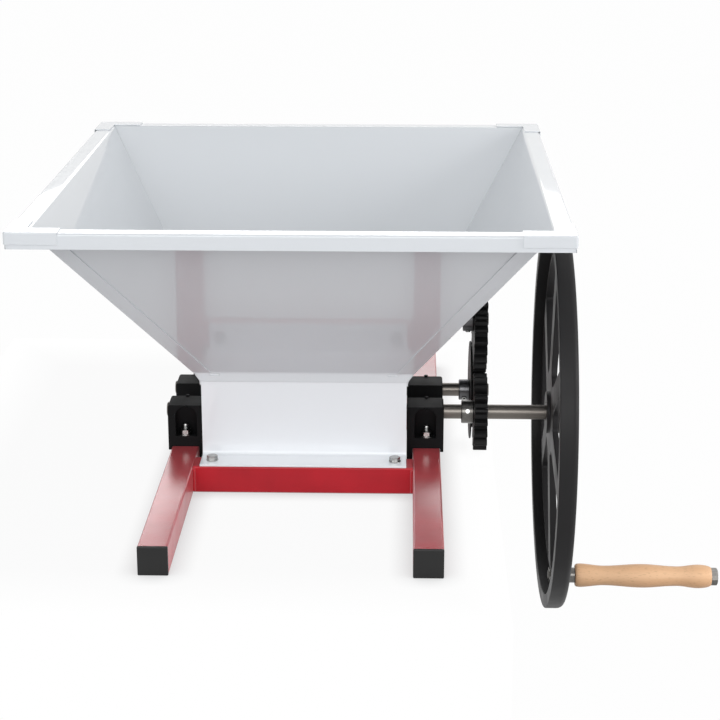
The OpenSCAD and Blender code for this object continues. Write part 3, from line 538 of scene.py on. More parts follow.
def turned_beech(y, z):
    """Pale wood with soft growth bands and short dark flecks along the grain, about an axis along X."""
    made, tree, shader = material("beech_wood", Specular_IOR_Level=0.4)
    centred = mapped(tree, object_place(tree), location=(0, -y, -z))
    bands = noise(tree, 1.0, 4, 0.6, mapped(tree, centred, scale=(4, 60, 60)))
    wood = add(tree, "ValToRGB", {0: bands})
    for end, place, colour in ((0, 0.3, (0.73, 0.42, 0.225, 1)), (1, 0.7, (0.88, 0.555, 0.325, 1))):
        wood.color_ramp.elements[end].position = place
        wood.color_ramp.elements[end].color = colour
    flecks = noise(tree, 1.0, 1, place=mapped(tree, centred, scale=(160, 1500, 1500)))
    fleck = remap(tree, flecks, 0.62, 0.72, 0.0, 0.45)
    wire(tree, shader, Base_Color=blend(tree, fleck, wood.outputs[0], (0.42, 0.23, 0.11, 1)),
         Roughness=remap(tree, bands, 0.3, 0.7, 0.46, 0.56),
         Normal=bump(tree, fleck, 0.00005, 0.6, invert=True))
    return made


# Lit and shaded copies of one white enamel: the hopper's copy is darkened as painted shade, and the throat
# plates' copy is lightened as painted light.
hopper_enamel = white_enamel("hopper_enamel", (0.69, 0.713, 0.736), 0.2)
plate_enamel = white_enamel("plate_enamel", (0.83, 0.855, 0.88), 0.3)
red_enamel = paint(
    "red_enamel", (0.46, 0.010, 0.020), cloud_scale=25.0, cloud_amount=0.10,
    skin_values=dict(Scale=480.0, Depth=0.00007, Roughness=0.40, Spread=0.05, Detail=3.0),
    coat_weights=(0.05, 0.9, 0.38), Coat_Roughness=0.25, Coat_IOR=2.4, Specular_IOR_Level=0.2,
    Sheen_Weight=0.10, Sheen_Roughness=0.5)
wheel_paint = paint(
    "wheel_paint", (0.016, 0.0155, 0.016), cloud_scale=12.0, cloud_amount=0.12,
    skin_values=dict(Scale=500.0, Depth=0.00003, Roughness=0.46, Spread=0.06, Detail=3.0),
    Specular_IOR_Level=0.15)
gear_black = paint(
    "gear_black", (0.006, 0.006, 0.0062), cloud_scale=60.0, cloud_amount=0.2,
    skin_values=dict(Scale=900.0, Depth=0.00004, Roughness=0.50, Spread=0.08, Detail=4.0),
    Specular_IOR_Level=0.14)
block_black = paint(
    "block_black", (0.0075, 0.0075, 0.008), cloud_scale=40.0, cloud_amount=0.12,
    skin_values=dict(Scale=1600.0, Depth=0.00003, Roughness=0.60, Spread=0.06), Specular_IOR_Level=0.09)
cap_black = paint(
    "cap_black", (0.009, 0.009, 0.009), cloud_scale=50.0, cloud_amount=0.15,
    skin_values=dict(Scale=1400.0, Depth=0.00003, Roughness=0.36, Spread=0.08), Specular_IOR_Level=0.35)
# The shaft and collar steels have bases darkened far below steel's own, as a painted reflection of dark
# surroundings.
shaft_metal = metal("shaft_metal", (0.17, 0.155, 0.14), (0.15, 0.137, 0.125),
                    ring_scale=6000.0, ring_depth=0.0000004, roughness=0.34, spread=0.03)
collar_metal = metal("collar_metal", (0.13, 0.13, 0.135), (0.11, 0.11, 0.115),
                     ring_scale=5000.0, ring_depth=0.0000005, roughness=0.30, spread=0.04)
roller_metal = metal("roller_metal", (0.66, 0.67, 0.68), (0.58, 0.59, 0.60),
                     ring_scale=3000.0, ring_depth=0.000001, roughness=0.36, spread=0.05)
# Both zinc bases are darkened as a painted reflection of dark surroundings; the second, on the drive hub and
# handle fittings, is a darker copy painted as shade.
zinc = zinc_plated("zinc_plate", (0.32, 0.32, 0.315), (0.42, 0.42, 0.41))
shaded_zinc = zinc_plated("dull_zinc_plate", (0.105, 0.10, 0.095), (0.15, 0.145, 0.135))
beech = turned_beech(*AXIS["grip"][1:])


# Frame: square tubes with welded joints and plastic end caps

TUBE = high("left_rail").z
TUBE_WALL = 0.002
TUBE_ROUND = 0.002
RAIL_X = (low("right_rail").x + high("right_rail").x) / 2
RAIL_END = high("left_rail").y
CROSSBAR_Y = high("front_crossbar").y - TUBE / 2
SHAFT_Y = AXIS["driven"][1]
BOLT = 0.003
BOLT_OFFSET = high("block_washers").y - 2 * BOLT - SHAFT_Y
BLOCK_BOLT_Y = [sy * SHAFT_Y + s * BOLT_OFFSET for sy in (-1, 1) for s in (-1, 1)]
WELD = 0.00168
WELD_INSET = 0.0008
WELD_X = high("front_crossbar").x - WELD_INSET
WELD_RIPPLES = 15
RIPPLE = 1.22
CAP_ROUND = 0.0012
PLUG = 0.014
PLUG_WALL = 0.0022
PLUG_HOLLOW = 0.0115
PLUG_GAP = 0.00005


def square_tube(node, axis):
    """Square tube with rounded long edges, open from end to end along the axis, 0 or 1."""
    obj = block(*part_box(node))
    bevel_edges(obj, lambda e: runs_along(e, axis), TUBE_ROUND, 5)
    pick(obj, "FACE", lambda f: abs(f.normal[axis]) > 0.99)
    bpy.ops.mesh.inset(thickness=TUBE_WALL)
    bpy.ops.mesh.bridge_edge_loops()
    return only(obj)


def weld_bead():
    """Rippled fillet weld, as high as the flat part of a tube's side."""
    only()
    bpy.ops.mesh.primitive_circle_add(vertices=14, radius=WELD, fill_type="NGON", location=(0, 0, TUBE_ROUND))
    obj = settle(bpy.context.object)
    pick_all(obj)
    height = TUBE_ROUND
    rise = (TUBE - 2 * TUBE_ROUND) / WELD_RIPPLES / 2
    for share in (RIPPLE, 1 / RIPPLE) * WELD_RIPPLES:
        height += rise
        extrude(z=rise)
        bpy.ops.transform.resize(value=(share, share, 1), center_override=(0, 0, height))
    return modify(only(obj), "SUBSURF", levels=1, render_levels=1)


def rail_cap():
    """Plastic cap for a tube end that faces +Y: a domed flange and a hollow plug."""
    half = TUBE / 2
    flange = high("rail_end_caps").y - RAIL_END
    cap = block((-half, 0, -half), (half, flange, half))
    bevel_edges(cap, lambda e: runs_along(e, 1), CAP_ROUND, 4)
    bevel_edges(cap, lambda e: middle(e).y > flange * 0.99, 0.0010, 3)
    half -= TUBE_WALL + PLUG_GAP
    plug = block((-half, -PLUG, -half), (half, flange / 5, half))
    bevel_edges(plug, lambda e: runs_along(e, 1), 0.001, 2)
    pick(plug, "FACE", lambda f: f.normal.y < -0.9)
    bpy.ops.mesh.inset(thickness=PLUG_WALL)
    extrude(y=PLUG_HOLLOW)
    return cut(cap, only(plug), operation="UNION")


for side, node in ((-1, "left_rail"), (1, "right_rail")):
    rail = square_tube(node, 1)
    for y in BLOCK_BOLT_Y:
        drill(rail, side * RAIL_X, y, TUBE / 2, TUBE + PAST, BOLT + BOLT_GAP)
    piece(soften(rail, 0.0003, angle=50), node + "_tube", red_enamel, node)
pair(square_tube("front_crossbar", 0), 1, "_tube", red_enamel, "front_crossbar", "rear_crossbar")

weld_places = [shift(sx * WELD_X, sy * CROSSBAR_Y + s * (TUBE / 2 + WELD_INSET))
               for sx in (-1, 1) for sy in (1, -1) for s in (-1, 1)]
piece(at_places(weld_bead(), weld_places), "frame_weld_beads", red_enamel, "frame_welds", smooth=60)

cap_places = [shift(side * RAIL_X, 0, TUBE / 2) @ facing @ shift(y=RAIL_END)
              for side in (-1, 1) for facing in (STILL, turn(180, "Z"))]
piece(at_places(rail_cap(), cap_places), "rail_caps", cap_black, "rail_end_caps")


# Fasteners, made standing on the origin and pointing up

HEAD_FLATS = 3.2  # a head's or nut's width across its flats, in bolt radii
BOLT_PITCH = 0.001
BOLT_HEAD = 0.003
HEAD_OVERLAP = 0.001
PLATE_BOLT_X = high("plate_washers").x - 2 * BOLT


def hex_body(flats, height, both=False):
    """Hexagonal head or nut with its corners turned off at the top, or at both ends."""
    corner = flats / 2 / cos(pi / 6)
    turned_radius = corner * 1.002
    obj = peg(corner, 0, height, sides=6, spin=pi / 6)
    turned = peg(turned_radius, 0, height, sides=48)
    for end in (-1, 1) if both else (1,):
        level = height if end > 0 else 0
        pick(turned, "FACE", lambda f: f.normal.z * end > 0.9)
        bpy.ops.mesh.inset(thickness=turned_radius - flats / 2 * 0.97)
        pick(turned, "EDGE",
             lambda e: abs(middle(e).z - level) < NEAR and middle(e).xy.length > corner * 0.99)
        bpy.ops.transform.translate(value=(0, 0, -end * flats * 0.054))
    return cut(obj, only(turned), operation="INTERSECT")


def thread_rings(start, length, pitch, crest, root):
    """Lathe stations of a thread that is made as rings."""
    return [(start + (i + share) * pitch, radius)
            for i in range(int(length / pitch)) for share, radius in ((0.5, crest), (1, root))]


def threads(radius, length, pitch):
    """Threaded rod."""
    rings = thread_rings(0, length, pitch, radius, radius * 0.86)
    return moved(lathe([(0, radius * 0.88), *rings, (length, radius * 0.80)], sides=24), UPRIGHT)


def hex_bolt(radius, pitch, head, stem):
    """Bolt with its head and its threaded stem each between two heights."""
    top = moved(hex_body(HEAD_FLATS * radius, head[1] - head[0]), shift(z=head[0]))
    return join([top, moved(threads(radius, stem[1] - stem[0], pitch), shift(z=stem[0]))])


def hex_nut(radius, height):
    nut = hex_body(HEAD_FLATS * radius, height, both=True)
    return cut(nut, peg(radius + FIT, -height, 2 * height, sides=32))


def flat_washer(radius, thickness):
    """Washer twice as wide as its bolt."""
    chamfer = min(0.0002, thickness * 0.2)
    return moved(collar(0, thickness, 2 * radius, radius + BOLT_GAP, 0, 0, chamfer, sides=40), UPRIGHT)


def socket_screw(radius, length):
    """Set screw with a hexagon socket in its top."""
    screw = peg(radius, 0, length)
    bevel_edges(screw, lambda e: not runs_along(e, 2), 0.0003, 1)
    return cut(screw, peg(radius * 0.58, length - radius, length + radius, sides=6))


def upright_nut(node):
    return moved(hex_nut(BOLT, span(node).z), shift(z=low(node).z))


def upright_washer(node):
    return moved(flat_washer(BOLT, span(node).z), shift(z=low(node).z))


def laid(obj, node, body):
    """Lays a fastener along X on that body's axis, from where its node starts."""
    return moved(obj, shift(low(node).x, *AXIS[body][1:]) @ ALONG_X)


block_places = [shift(side * RAIL_X, y) for side in (-1, 1) for y in BLOCK_BOLT_Y]
bolt_low, bolt_high = low("block_bolts").z, high("block_bolts").z
bolt = hex_bolt(BOLT, BOLT_PITCH, (bolt_low, bolt_low + BOLT_HEAD), (bolt_low + HEAD_OVERLAP, bolt_high))
piece(at_places(bolt, block_places), "block_bolt_set", zinc, "block_bolts")
piece(at_places(upright_nut("block_nuts"), block_places), "block_nut_set", zinc, "block_nuts")
piece(at_places(upright_washer("block_washers"), block_places), "block_washer_set", zinc, "block_washers")

plate_places = [shift(sx * PLATE_BOLT_X, sy * abs(CROSSBAR_Y)) for sx in (-1, 1) for sy in (-1, 1)]
bolt_low, bolt_high, head_low = low("plate_bolts").z, high("plate_bolts").z, high("plate_washers").z
bolt = hex_bolt(BOLT, BOLT_PITCH, (head_low, bolt_high), (bolt_low, head_low + HEAD_OVERLAP))
piece(at_places(bolt, plate_places), "plate_bolt_set", zinc, "plate_bolts")
piece(at_places(upright_washer("plate_washers"), plate_places), "plate_washer_set", zinc, "plate_washers")
piece(from_cad("plate_rivet_nuts", 0.0002), "plate_rivet_nut_set", zinc, "plate_rivet_nuts")


# Bearing blocks

DRIVE_RADIUS = shaft_radius("drive")
POCKET_FLOOR = low("block_washers").z
POCKET_WIDTH = 0.022
POCKET_RIB = 0.004
POCKET_LIP = 0.002
POCKET_COVER = 0.001
BORE_COVER = 0.003
CROWN_ROUND = 0.0024
SKIRT_GAP = 0.0002
OUTER_SKIRT = 0.004
LUG = 0.0015
LUG_RADIUS = 0.002
LUG_INSET = 0.001


def block_pocket(middle_x, face, crown, facing, lip=None):
    """Cutter for an arched pocket. With a lip, its back wall leans from the rib at the floor to the lip."""
    reach = POCKET_WIDTH / 2
    back = POCKET_RIB / 2
    arch = block((middle_x - reach, back, POCKET_FLOOR), (middle_x + reach, face + PAST, crown))
    bevel_edges(arch, lambda e: runs_along(e, 1) and middle(e).z > crown - NEAR, reach * 0.999, 12)
    if lip:
        pick_all(arch)
        lean = (0, POCKET_FLOOR - crown, face - lip - back)
        bpy.ops.mesh.bisect(plane_co=(0, back, POCKET_FLOOR), plane_no=lean, use_fill=True, clear_outer=True)
    return moved(only(arch), flip(1) if facing < 0 else STILL)


def bearing_block(node, body, facing):
    """Moulded saddle on the left rail, from the box of the one on the right: a tall arched pocket on its
    outward face and a low one on its inward face."""
    _, y, z = AXIS[body]
    inner, outer = low(node).x - RAIL_X, high(node).x - RAIL_X
    face = y - low(node).y
    top = high(node).z - LUG
    saddle = block((inner, -face, low(node).z), (outer, face, top))
    bevel_edges(saddle, lambda e: runs_along(e, 1) and middle(e).z > top - NEAR, CROWN_ROUND, 4)
    seat = TUBE / 2 + SKIRT_GAP
    cut(saddle, block((-seat, -2 * face, 0), (seat, 2 * face, TUBE)),
        block((seat - PAST, -2 * face, 0), (2 * outer, 2 * face, TUBE - OUTER_SKIRT)))
    middle_x = (inner + outer) / 2
    cut(saddle, block_pocket(middle_x, face, top - POCKET_COVER, facing, POCKET_LIP),
        block_pocket(middle_x, face, z - DRIVE_RADIUS - BORE_COVER, -facing),
        rod(inner - THROUGH, outer + THROUGH, span(body + "_shaft").y / 2 + TURNING_GAP, 0, z))
    for s in (-1, 1):
        drill(saddle, 0, s * BOLT_OFFSET, TUBE - PAST, POCKET_FLOOR + PAST, BOLT + BOLT_GAP)
    soften(saddle, 0.0005, angle=40)
    lug = peg(LUG_RADIUS, top - LUG, top + LUG, y=face - LUG_INSET)
    bevel_edges(lug, lambda e: middle(e).z > top + PAST and not runs_along(e, 2), 0.0004, 2)
    return moved(join([saddle, lug]), flip(0) @ shift(RAIL_X, y))


for row, body, facing in (("front", "drive", -1), ("rear", "driven", 1)):
    left, right = ("bearing_block_" + row + side for side in ("_left", "_right"))
    pair(bearing_block(right, body, facing), 0, "_moulding", block_black, left, right)


# Throat plates

PLATE = 0.002
PLATE_BEND = 0.0035
PLATE_HOLE_GAP = 0.002
SHEET = 0.0012
THROAT_X = high("right_throat_plate").x
THROAT_Y = PLATE - high("front_plate").y
PLATE_TOP = high("front_plate").z
FOOT_TOP = TUBE + PLATE
FOOT_Y = -low("front_plate").y
SLOT_X = THROAT_X - 0.014
SLOT_HALF = 0.005
SLOT_REACH = 0.005
SLOT_HEIGHT = 0.0018
SLOT_LOW = PLATE_TOP - SLOT_HEIGHT - 0.0002
SLOT_HIGH = SLOT_LOW + SLOT_HEIGHT
TONGUE_GAP = 0.0003
TONGUE_HALF = SLOT_HALF - TONGUE_GAP
TONGUE_STANDS = SHEET * 0.6

plate = bent_sheet([(THROAT_X, THROAT_Y, PLATE_TOP), (THROAT_X, THROAT_Y, FOOT_TOP),
                    (THROAT_X, FOOT_Y, FOOT_TOP)], PLATE, PLATE_BEND)
for side in (-1, 1):
    x = side * SLOT_X
    tongue = block((x - TONGUE_HALF, -THROAT_Y - TONGUE_STANDS, SLOT_LOW + TONGUE_GAP),
                   (x + TONGUE_HALF, -THROAT_Y + PAST, SLOT_HIGH - TONGUE_GAP))
    cut(plate, tongue, operation="UNION")
    drill(plate, side * PLATE_BOLT_X, CROSSBAR_Y, TUBE - PAST, FOOT_TOP + PAST, BOLT + BOLT_GAP)
pair(soften(plate, 0.0003, angle=60), 1, "_sheet", plate_enamel, "front_plate", "rear_plate")

plate = block(*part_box("left_throat_plate"))
for body in ("drive", "driven"):
    hole = shaft_radius(body) + PLATE_HOLE_GAP
    cut(plate, rod(-THROAT_X - THROUGH, -THROAT_X + THROUGH, hole, *AXIS[body][1:]))
pair(soften(plate, 0.0004), 0, "_sheet", plate_enamel, "left_throat_plate", "right_throat_plate")


# Hopper

CAP_SHEET = 0.0012
CAP_LEG = 0.048
RIM_X = high("rim_corner_caps").x
RIM_Y = high("rim_corner_caps").y
RIM_HEIGHT = high("rim_corner_caps").z
RIM_TOP = RIM_HEIGHT - CAP_SHEET
RIM_FLANGE = 0.0183
RIM_LIP = 0.0144
LIP_BOTTOM = RIM_TOP - RIM_LIP
OUTER_X = RIM_X - CAP_SHEET
OUTER_Y = RIM_Y - CAP_SHEET
FOLD_X = RIM_X - RIM_FLANGE
FOLD_Y = RIM_Y - RIM_FLANGE
SKIRT = 0.0105
SKIRT_BOTTOM = low("hopper_front").z
THROAT_HEIGHT = SKIRT_BOTTOM + SKIRT
SIDE_FOLD = THROAT_HEIGHT - 0.95 * SKIRT
SLOPE_X = (FOLD_X - THROAT_X) / (RIM_HEIGHT - SIDE_FOLD)
SLOPE_Y = (FOLD_Y - THROAT_Y) / (RIM_HEIGHT - THROAT_HEIGHT)
SLANTED_SHEET = SHEET * sqrt(1 + SLOPE_Y ** 2)
WALL_BEND = 0.0022
BUSH = 0.011


def wall_x(z):
    return THROAT_X + SLOPE_X * (z - SIDE_FOLD)


def wall_y(z):
    return THROAT_Y + SLOPE_Y * (z - THROAT_HEIGHT)


def rim_cap():
    """Folded cap over the front right corner of the rim."""
    only()
    half = CAP_LEG / 2
    bpy.ops.mesh.primitive_plane_add(size=CAP_LEG, location=(RIM_X - half, half - RIM_Y, RIM_HEIGHT))
    obj = settle(bpy.context.object)
    for place, across in (((FOLD_X, 0, 0), (1, 0, 0)), ((0, -FOLD_Y, 0), (0, 1, 0))):
        pick_all(obj)
        bpy.ops.mesh.bisect(plane_co=place, plane_no=across)
    pick(obj, "FACE", lambda f: f.calc_center_median().x < FOLD_X and f.calc_center_median().y > -FOLD_Y)
    bpy.ops.mesh.delete(type="FACE")
    pick(obj, "EDGE", lambda e: middle(e).x > RIM_X - NEAR or middle(e).y < -RIM_Y + NEAR)
    extrude(z=-span("rim_corner_caps").z)
    bevel_edges(obj, lambda e: runs_along(e, 2) and middle(e).x > RIM_X - NEAR
                and middle(e).y < -RIM_Y + NEAR, 0.0024, 4)
    bevel_edges(obj, lambda e: len(e.link_faces) == 2 and middle(e).z > RIM_HEIGHT - NEAR
                and e.calc_face_angle(0) > FOLD, 0.0011, 3)
    if obj.data.polygons[0].normal.z < -0.5:
        obj.data.flip_normals()
    modify(obj, "SOLIDIFY", thickness=CAP_SHEET * 0.98, offset=-1, use_even_offset=True)
    return soften(obj, 0.0002, angle=60)


wall = bent_sheet([(THROAT_X, THROAT_Y, SKIRT_BOTTOM), (THROAT_X, THROAT_Y, SIDE_FOLD),
                   (wall_x(THROAT_HEIGHT), THROAT_Y, THROAT_HEIGHT),
                   (wall_x(RIM_TOP), wall_y(RIM_TOP), RIM_TOP), (OUTER_X, OUTER_Y, RIM_TOP),
                   (OUTER_X, OUTER_Y, LIP_BOTTOM)], SHEET, WALL_BEND)
for side in (-1, 1):
    x = side * SLOT_X
    cut(wall, block((x - SLOT_HALF, -THROAT_Y - SLOT_REACH, SLOT_LOW),
                    (x + SLOT_HALF, -THROAT_Y + PAST, SLOT_HIGH)))
pair(soften(wall, 0.0002, angle=60), 1, "_sheet", hopper_enamel, "hopper_front", "hopper_rear")

wall = bent_sheet([(THROAT_Y, THROAT_X, low("hopper_left").z), (THROAT_Y, THROAT_X, SIDE_FOLD),
                   (THROAT_Y + SLANTED_SHEET, wall_x(THROAT_HEIGHT), THROAT_HEIGHT),
                   (wall_y(RIM_TOP), wall_x(RIM_TOP), RIM_TOP), (OUTER_Y, OUTER_X, RIM_TOP),
                   (OUTER_Y, OUTER_X, LIP_BOTTOM)], SHEET, WALL_BEND)
moved(wall, turn(90, "Z"))
cut(wall, rod(THROAT_X, RIM_X, BUSH + FIT, *AXIS["agitator"][1:]))
pair(soften(wall, 0.0002, angle=60), 0, "_sheet", hopper_enamel, "hopper_right", "hopper_left")

piece(from_cad("corner_strips", 0.0003), "hopper_corner_strips", hopper_enamel, "corner_strips")
rim_corners = [mx @ my for mx in (STILL, flip(0)) for my in (STILL, flip(1))]
piece(at_places(rim_cap(), rim_corners), "rim_caps", hopper_enamel, "rim_corner_caps")
for node in ("agitator_bush_left", "agitator_bush_right"):
    piece(from_cad(node, 0.0004), node + "_moulding", block_black, node)


# Shafts, rollers and agitator

ROLLER_HALF = high("drive_roller").x
ROLLER_RADIUS = 0.0335
FLUTES = 12
FLUTE_RADIUS = 0.005
FLUTE_DEPTH = 0.0035
PIN = 0.003
PIN_X = ROLLER_HALF - 0.014
SHAFT_CHAMFER = 0.0008
HUB_END = high("wheel_key").x
SHAFT_END = high("drive_shaft").x
SHOULDER_CHAMFER = 0.0004
WHEEL_THREAD = 0.006
WHEEL_ROOT = 0.0054
WHEEL_PITCH = 0.00125
PADDLES = 4
PADDLE_PITCH = 0.044
PADDLE_HALF = 0.015
PADDLE_ROOT = 0.0055
PADDLE_TIP = 0.049
PADDLE_ROUND = 0.008
PADDLE_THICK = 0.005


def pin_holes(obj, body):
    """Drills a roller or its shaft for the two cross pins."""
    _, y, z = AXIS[body]
    reach = ROLLER_RADIUS + THROUGH
    for side in (-1, 1):
        drill(obj, side * PIN_X, y, z - reach, z + reach, PIN + FIT)
    return obj


def roller(body):
    """Fluted roller with holes for its shaft and its cross pins."""
    _, y, z = AXIS[body]
    ends = (-ROLLER_HALF - THROUGH, ROLLER_HALF + THROUGH)
    away = ROLLER_RADIUS + FLUTE_RADIUS - FLUTE_DEPTH
    angles = [(i + 0.5) * 2 * pi / FLUTES for i in range(FLUTES)]
    flutes = at_places(rod(*ends, FLUTE_RADIUS, 0, 0, sides=32),
                       [shift(0, y + away * cos(angle), z + away * sin(angle)) for angle in angles])
    drum = rod(-ROLLER_HALF, ROLLER_HALF, ROLLER_RADIUS, y, z, chamfer=0.0008, sides=96)
    cut(drum, flutes, rod(*ends, shaft_radius(body) + FIT, y, z))
    pin_holes(drum, body)
    piece(soften(drum, 0.0005, angle=35), body + "_roller_casting", roller_metal, body + "_roller")


def roller_pins(body):
    """The two cross pins that hold a roller on its shaft."""
    node = body + "_roller_pins"
    pin = moved(rod(0, span(node).z, PIN, 0, 0, chamfer=0.0005, sides=32), UPRIGHT)
    places = [shift(side * PIN_X, AXIS[body][1], low(node).z) for side in (-1, 1)]
    piece(at_places(pin, places), body + "_roller_pin_pair", zinc, node)


def plain_shaft(body):
    """Turned shaft with chamfered ends."""
    node = body + "_shaft"
    return rod(low(node).x, high(node).x, shaft_radius(body), *AXIS[body][1:], SHAFT_CHAMFER, 64)


for body in ("drive", "driven"):
    roller(body)
    roller_pins(body)

shaft_start = low("drive_shaft").x
drive_shaft = lathe(
    [(shaft_start, DRIVE_RADIUS - SHAFT_CHAMFER), (shaft_start + SHAFT_CHAMFER, DRIVE_RADIUS),
     (HUB_END - SHOULDER_CHAMFER, DRIVE_RADIUS), (HUB_END, DRIVE_RADIUS - SHOULDER_CHAMFER),
     (HUB_END + FIT, WHEEL_ROOT),
     *thread_rings(HUB_END, SHAFT_END - HUB_END - 0.001, WHEEL_PITCH, WHEEL_THREAD, WHEEL_ROOT),
     (SHAFT_END, WHEEL_THREAD * 0.82)], *AXIS["drive"][1:], sides=64)
key_low, key_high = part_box("wheel_key")
cut(drive_shaft, block(key_low, key_high + Vector((0.001, 0, 0.003))))
piece(pin_holes(drive_shaft, "drive"), "drive_shaft_bar", shaft_metal, "drive_shaft")
piece(pin_holes(plain_shaft("driven"), "driven"), "driven_shaft_bar", shaft_metal, "driven_shaft")
piece(plain_shaft("agitator"), "agitator_shaft_bar", shaft_metal, "agitator_shaft")

paddle = block((-PADDLE_HALF, PADDLE_ROOT, -PADDLE_THICK / 2), (PADDLE_HALF, PADDLE_TIP, PADDLE_THICK / 2))
bevel_edges(paddle, lambda e: runs_along(e, 2) and middle(e).y > PADDLE_TIP - NEAR, PADDLE_ROUND, 6)
soften(paddle, 0.0006)
paddle_places = [shift((i - (PADDLES - 1) / 2) * PADDLE_PITCH, *AXIS["agitator"][1:])
                 @ turn(45 + 90 * i, "X") for i in range(PADDLES)]
piece(at_places(paddle, paddle_places), "agitator_paddle_set", roller_metal, "agitator_paddles")


# Gears, hubs and collars

SMALL_BORE = shaft_radius("driven") + FIT
HUB_CHAMFER = 0.0007
SET_SCREW = 0.0025
SET_SCREW_STANDS = 0.001


def hub_radius(node, body):
    return high(node).y - AXIS[body][1]


def hub(node, body, angle, finish):
    """Round hub or collar with a set screw in a tapped hole at that angle."""
    outer, bore = hub_radius(node, body), shaft_radius(body) + FIT
    x = (low(node).x + high(node).x) / 2
    out = shift(x, *AXIS[body][1:]) @ turn(angle - 90, "X")
    ring = sleeve(node, body, outer, bore, HUB_CHAMFER, 64)
    cut(ring, moved(peg(SET_SCREW + FIT, 0, 2 * outer), out))
    piece(ring, node + "_turned", finish, node)
    screw = socket_screw(SET_SCREW, outer + SET_SCREW_STANDS - shaft_radius(body))
    piece(moved(screw, out @ shift(z=bore)), node + "_screw_socket", zinc, node + "_screw")


for node in ("drive_gear", "driven_gear", "agitator_gear"):
    piece(from_cad(node, 0.0005, angle=40), node + "_casting", gear_black, node, smooth=25)
piece(sleeve("guide_disc", "driven", span("guide_disc").y / 2, SMALL_BORE, 0.0004, 128),
      "guide_disc_plate", gear_black, "guide_disc")
hub("drive_hub", "drive", 160, shaded_zinc)
hub("driven_collar", "driven", 215, collar_metal)
hub("agitator_hub", "agitator", 250, collar_metal)
retainer = sleeve("agitator_retainer", "agitator", hub_radius("agitator_retainer", "agitator"), SMALL_BORE,
                  HUB_CHAMFER)
piece(retainer, "agitator_retainer_collar", collar_metal, "agitator_retainer")


# Flywheel

_, WHEEL_Y, WHEEL_Z = AXIS["drive"]
_, GRIP_Y, GRIP_Z = AXIS["grip"]
HANDLE_BOLT = 0.005
HANDLE_HOLE = HANDLE_BOLT + BOLT_GAP
HANDLE_RADIUS = sqrt((GRIP_Y - WHEEL_Y) ** 2 + (GRIP_Z - WHEEL_Z) ** 2)
NUT_CORNER = HEAD_FLATS * HANDLE_BOLT / 2 / cos(pi / 6)
NUT_LAND = 0.0028
WHEEL_X = low("flywheel").x
WHEEL_RADIUS = high("flywheel").z - WHEEL_Z
WHEEL_WIDTH = 0.0177
WHEEL_END = WHEEL_X + WHEEL_WIDTH
RIM_INNER = WHEEL_RADIUS - 0.014
SHOULDER_WIDTH = 0.0059
SHOULDER_DROP = 0.005
HUB_RADIUS = 0.0215
HUB_LOW = WHEEL_X + 0.0014
WEB_X = WHEEL_X + 0.0132
WEB_HUB_X = WHEEL_X + 0.0046
WEB_HUB_END = WEB_HUB_X + 0.0055
WINDOW_INNER = 0.044
WINDOW_OUTER = HANDLE_RADIUS - NUT_CORNER - NUT_LAND
WINDOW_ROUND = 0.010
BEAD = 0.0039
BEAD_OUTER = WINDOW_OUTER + 0.0023
SPOKES = 6
SPOKE_WIDTH = 0.026
SPOKE_ANGLE = 25


def wheel_window():
    """Cutter for one window, upright: a rounded wedge between two spokes."""
    window = peg(WINDOW_OUTER, -0.02, 0.02, sides=120)
    for side, angle in ((1, 0), (-1, 360 / SPOKES)):
        normal = turn(angle, "Z") @ Vector((0, side, 0))
        pick_all(window)
        bpy.ops.mesh.bisect(plane_co=normal * SPOKE_WIDTH / 2, plane_no=normal, use_fill=True,
                            clear_inner=True)
    cut(window, peg(WINDOW_INNER, -0.025, 0.025, sides=64))
    return bevel_edges(window, lambda e: runs_along(e, 2) and e.calc_face_angle(0) > 0.6, WINDOW_ROUND, 6)


def flywheel():
    """Cast wheel: hub, dished web with six windows, and a broad rim with a rounded outer shoulder."""
    bore = DRIVE_RADIUS + FIT
    shoulder = [(WHEEL_END - SHOULDER_WIDTH * (1 - sin(radians(a))),
                 WHEEL_RADIUS - SHOULDER_DROP * (1 - cos(radians(a)))) for a in range(0, 91, 18)]
    wheel = lathe(
        [(HUB_LOW, bore), (HUB_LOW, HUB_RADIUS), (WEB_HUB_X, HUB_RADIUS), (WEB_X - BEAD, WINDOW_OUTER),
         (WEB_X - BEAD, BEAD_OUTER), (WEB_X, BEAD_OUTER), (WEB_X, RIM_INNER), (WHEEL_X, RIM_INNER),
         (WHEEL_X, WHEEL_RADIUS), *shoulder, (WHEEL_END, RIM_INNER), (WHEEL_END, WINDOW_OUTER),
         (WEB_HUB_END, HUB_RADIUS), (HUB_END, HUB_RADIUS), (HUB_END, bore)], WHEEL_Y, WHEEL_Z, 160, ring=True)
    out = shift(WHEEL_X + WHEEL_WIDTH / 2, WHEEL_Y, WHEEL_Z) @ ALONG_X
    windows = [out @ turn(SPOKE_ANGLE + i * 360 / SPOKES, "Z") for i in range(SPOKES)]
    cut(wheel, at_places(wheel_window(), windows),
        rod(WHEEL_X - THROUGH, WHEEL_END + THROUGH, HANDLE_HOLE, GRIP_Y, GRIP_Z, sides=32),
        block((HUB_LOW - PAST, key_low.y - FIT, WHEEL_Z),
              (HUB_END + PAST, key_high.y + FIT, key_high.z + FIT)))
    return soften(wheel, 0.0010, 3, angle=32)


piece(flywheel(), "flywheel_casting", wheel_paint, "flywheel")
piece(soften(block(key_low, key_high), 0.0004, 1), "wheel_key_bar", shaft_metal, "wheel_key")
ring = laid(flat_washer(WHEEL_THREAD, span("wheel_washer").x), "wheel_washer", "drive")
piece(ring, "wheel_washer_ring", zinc, "wheel_washer")
nut = laid(hex_nut(WHEEL_THREAD, span("wheel_nut").x), "wheel_nut", "drive")
piece(nut, "wheel_nut_hex", zinc, "wheel_nut")


# Crank handle

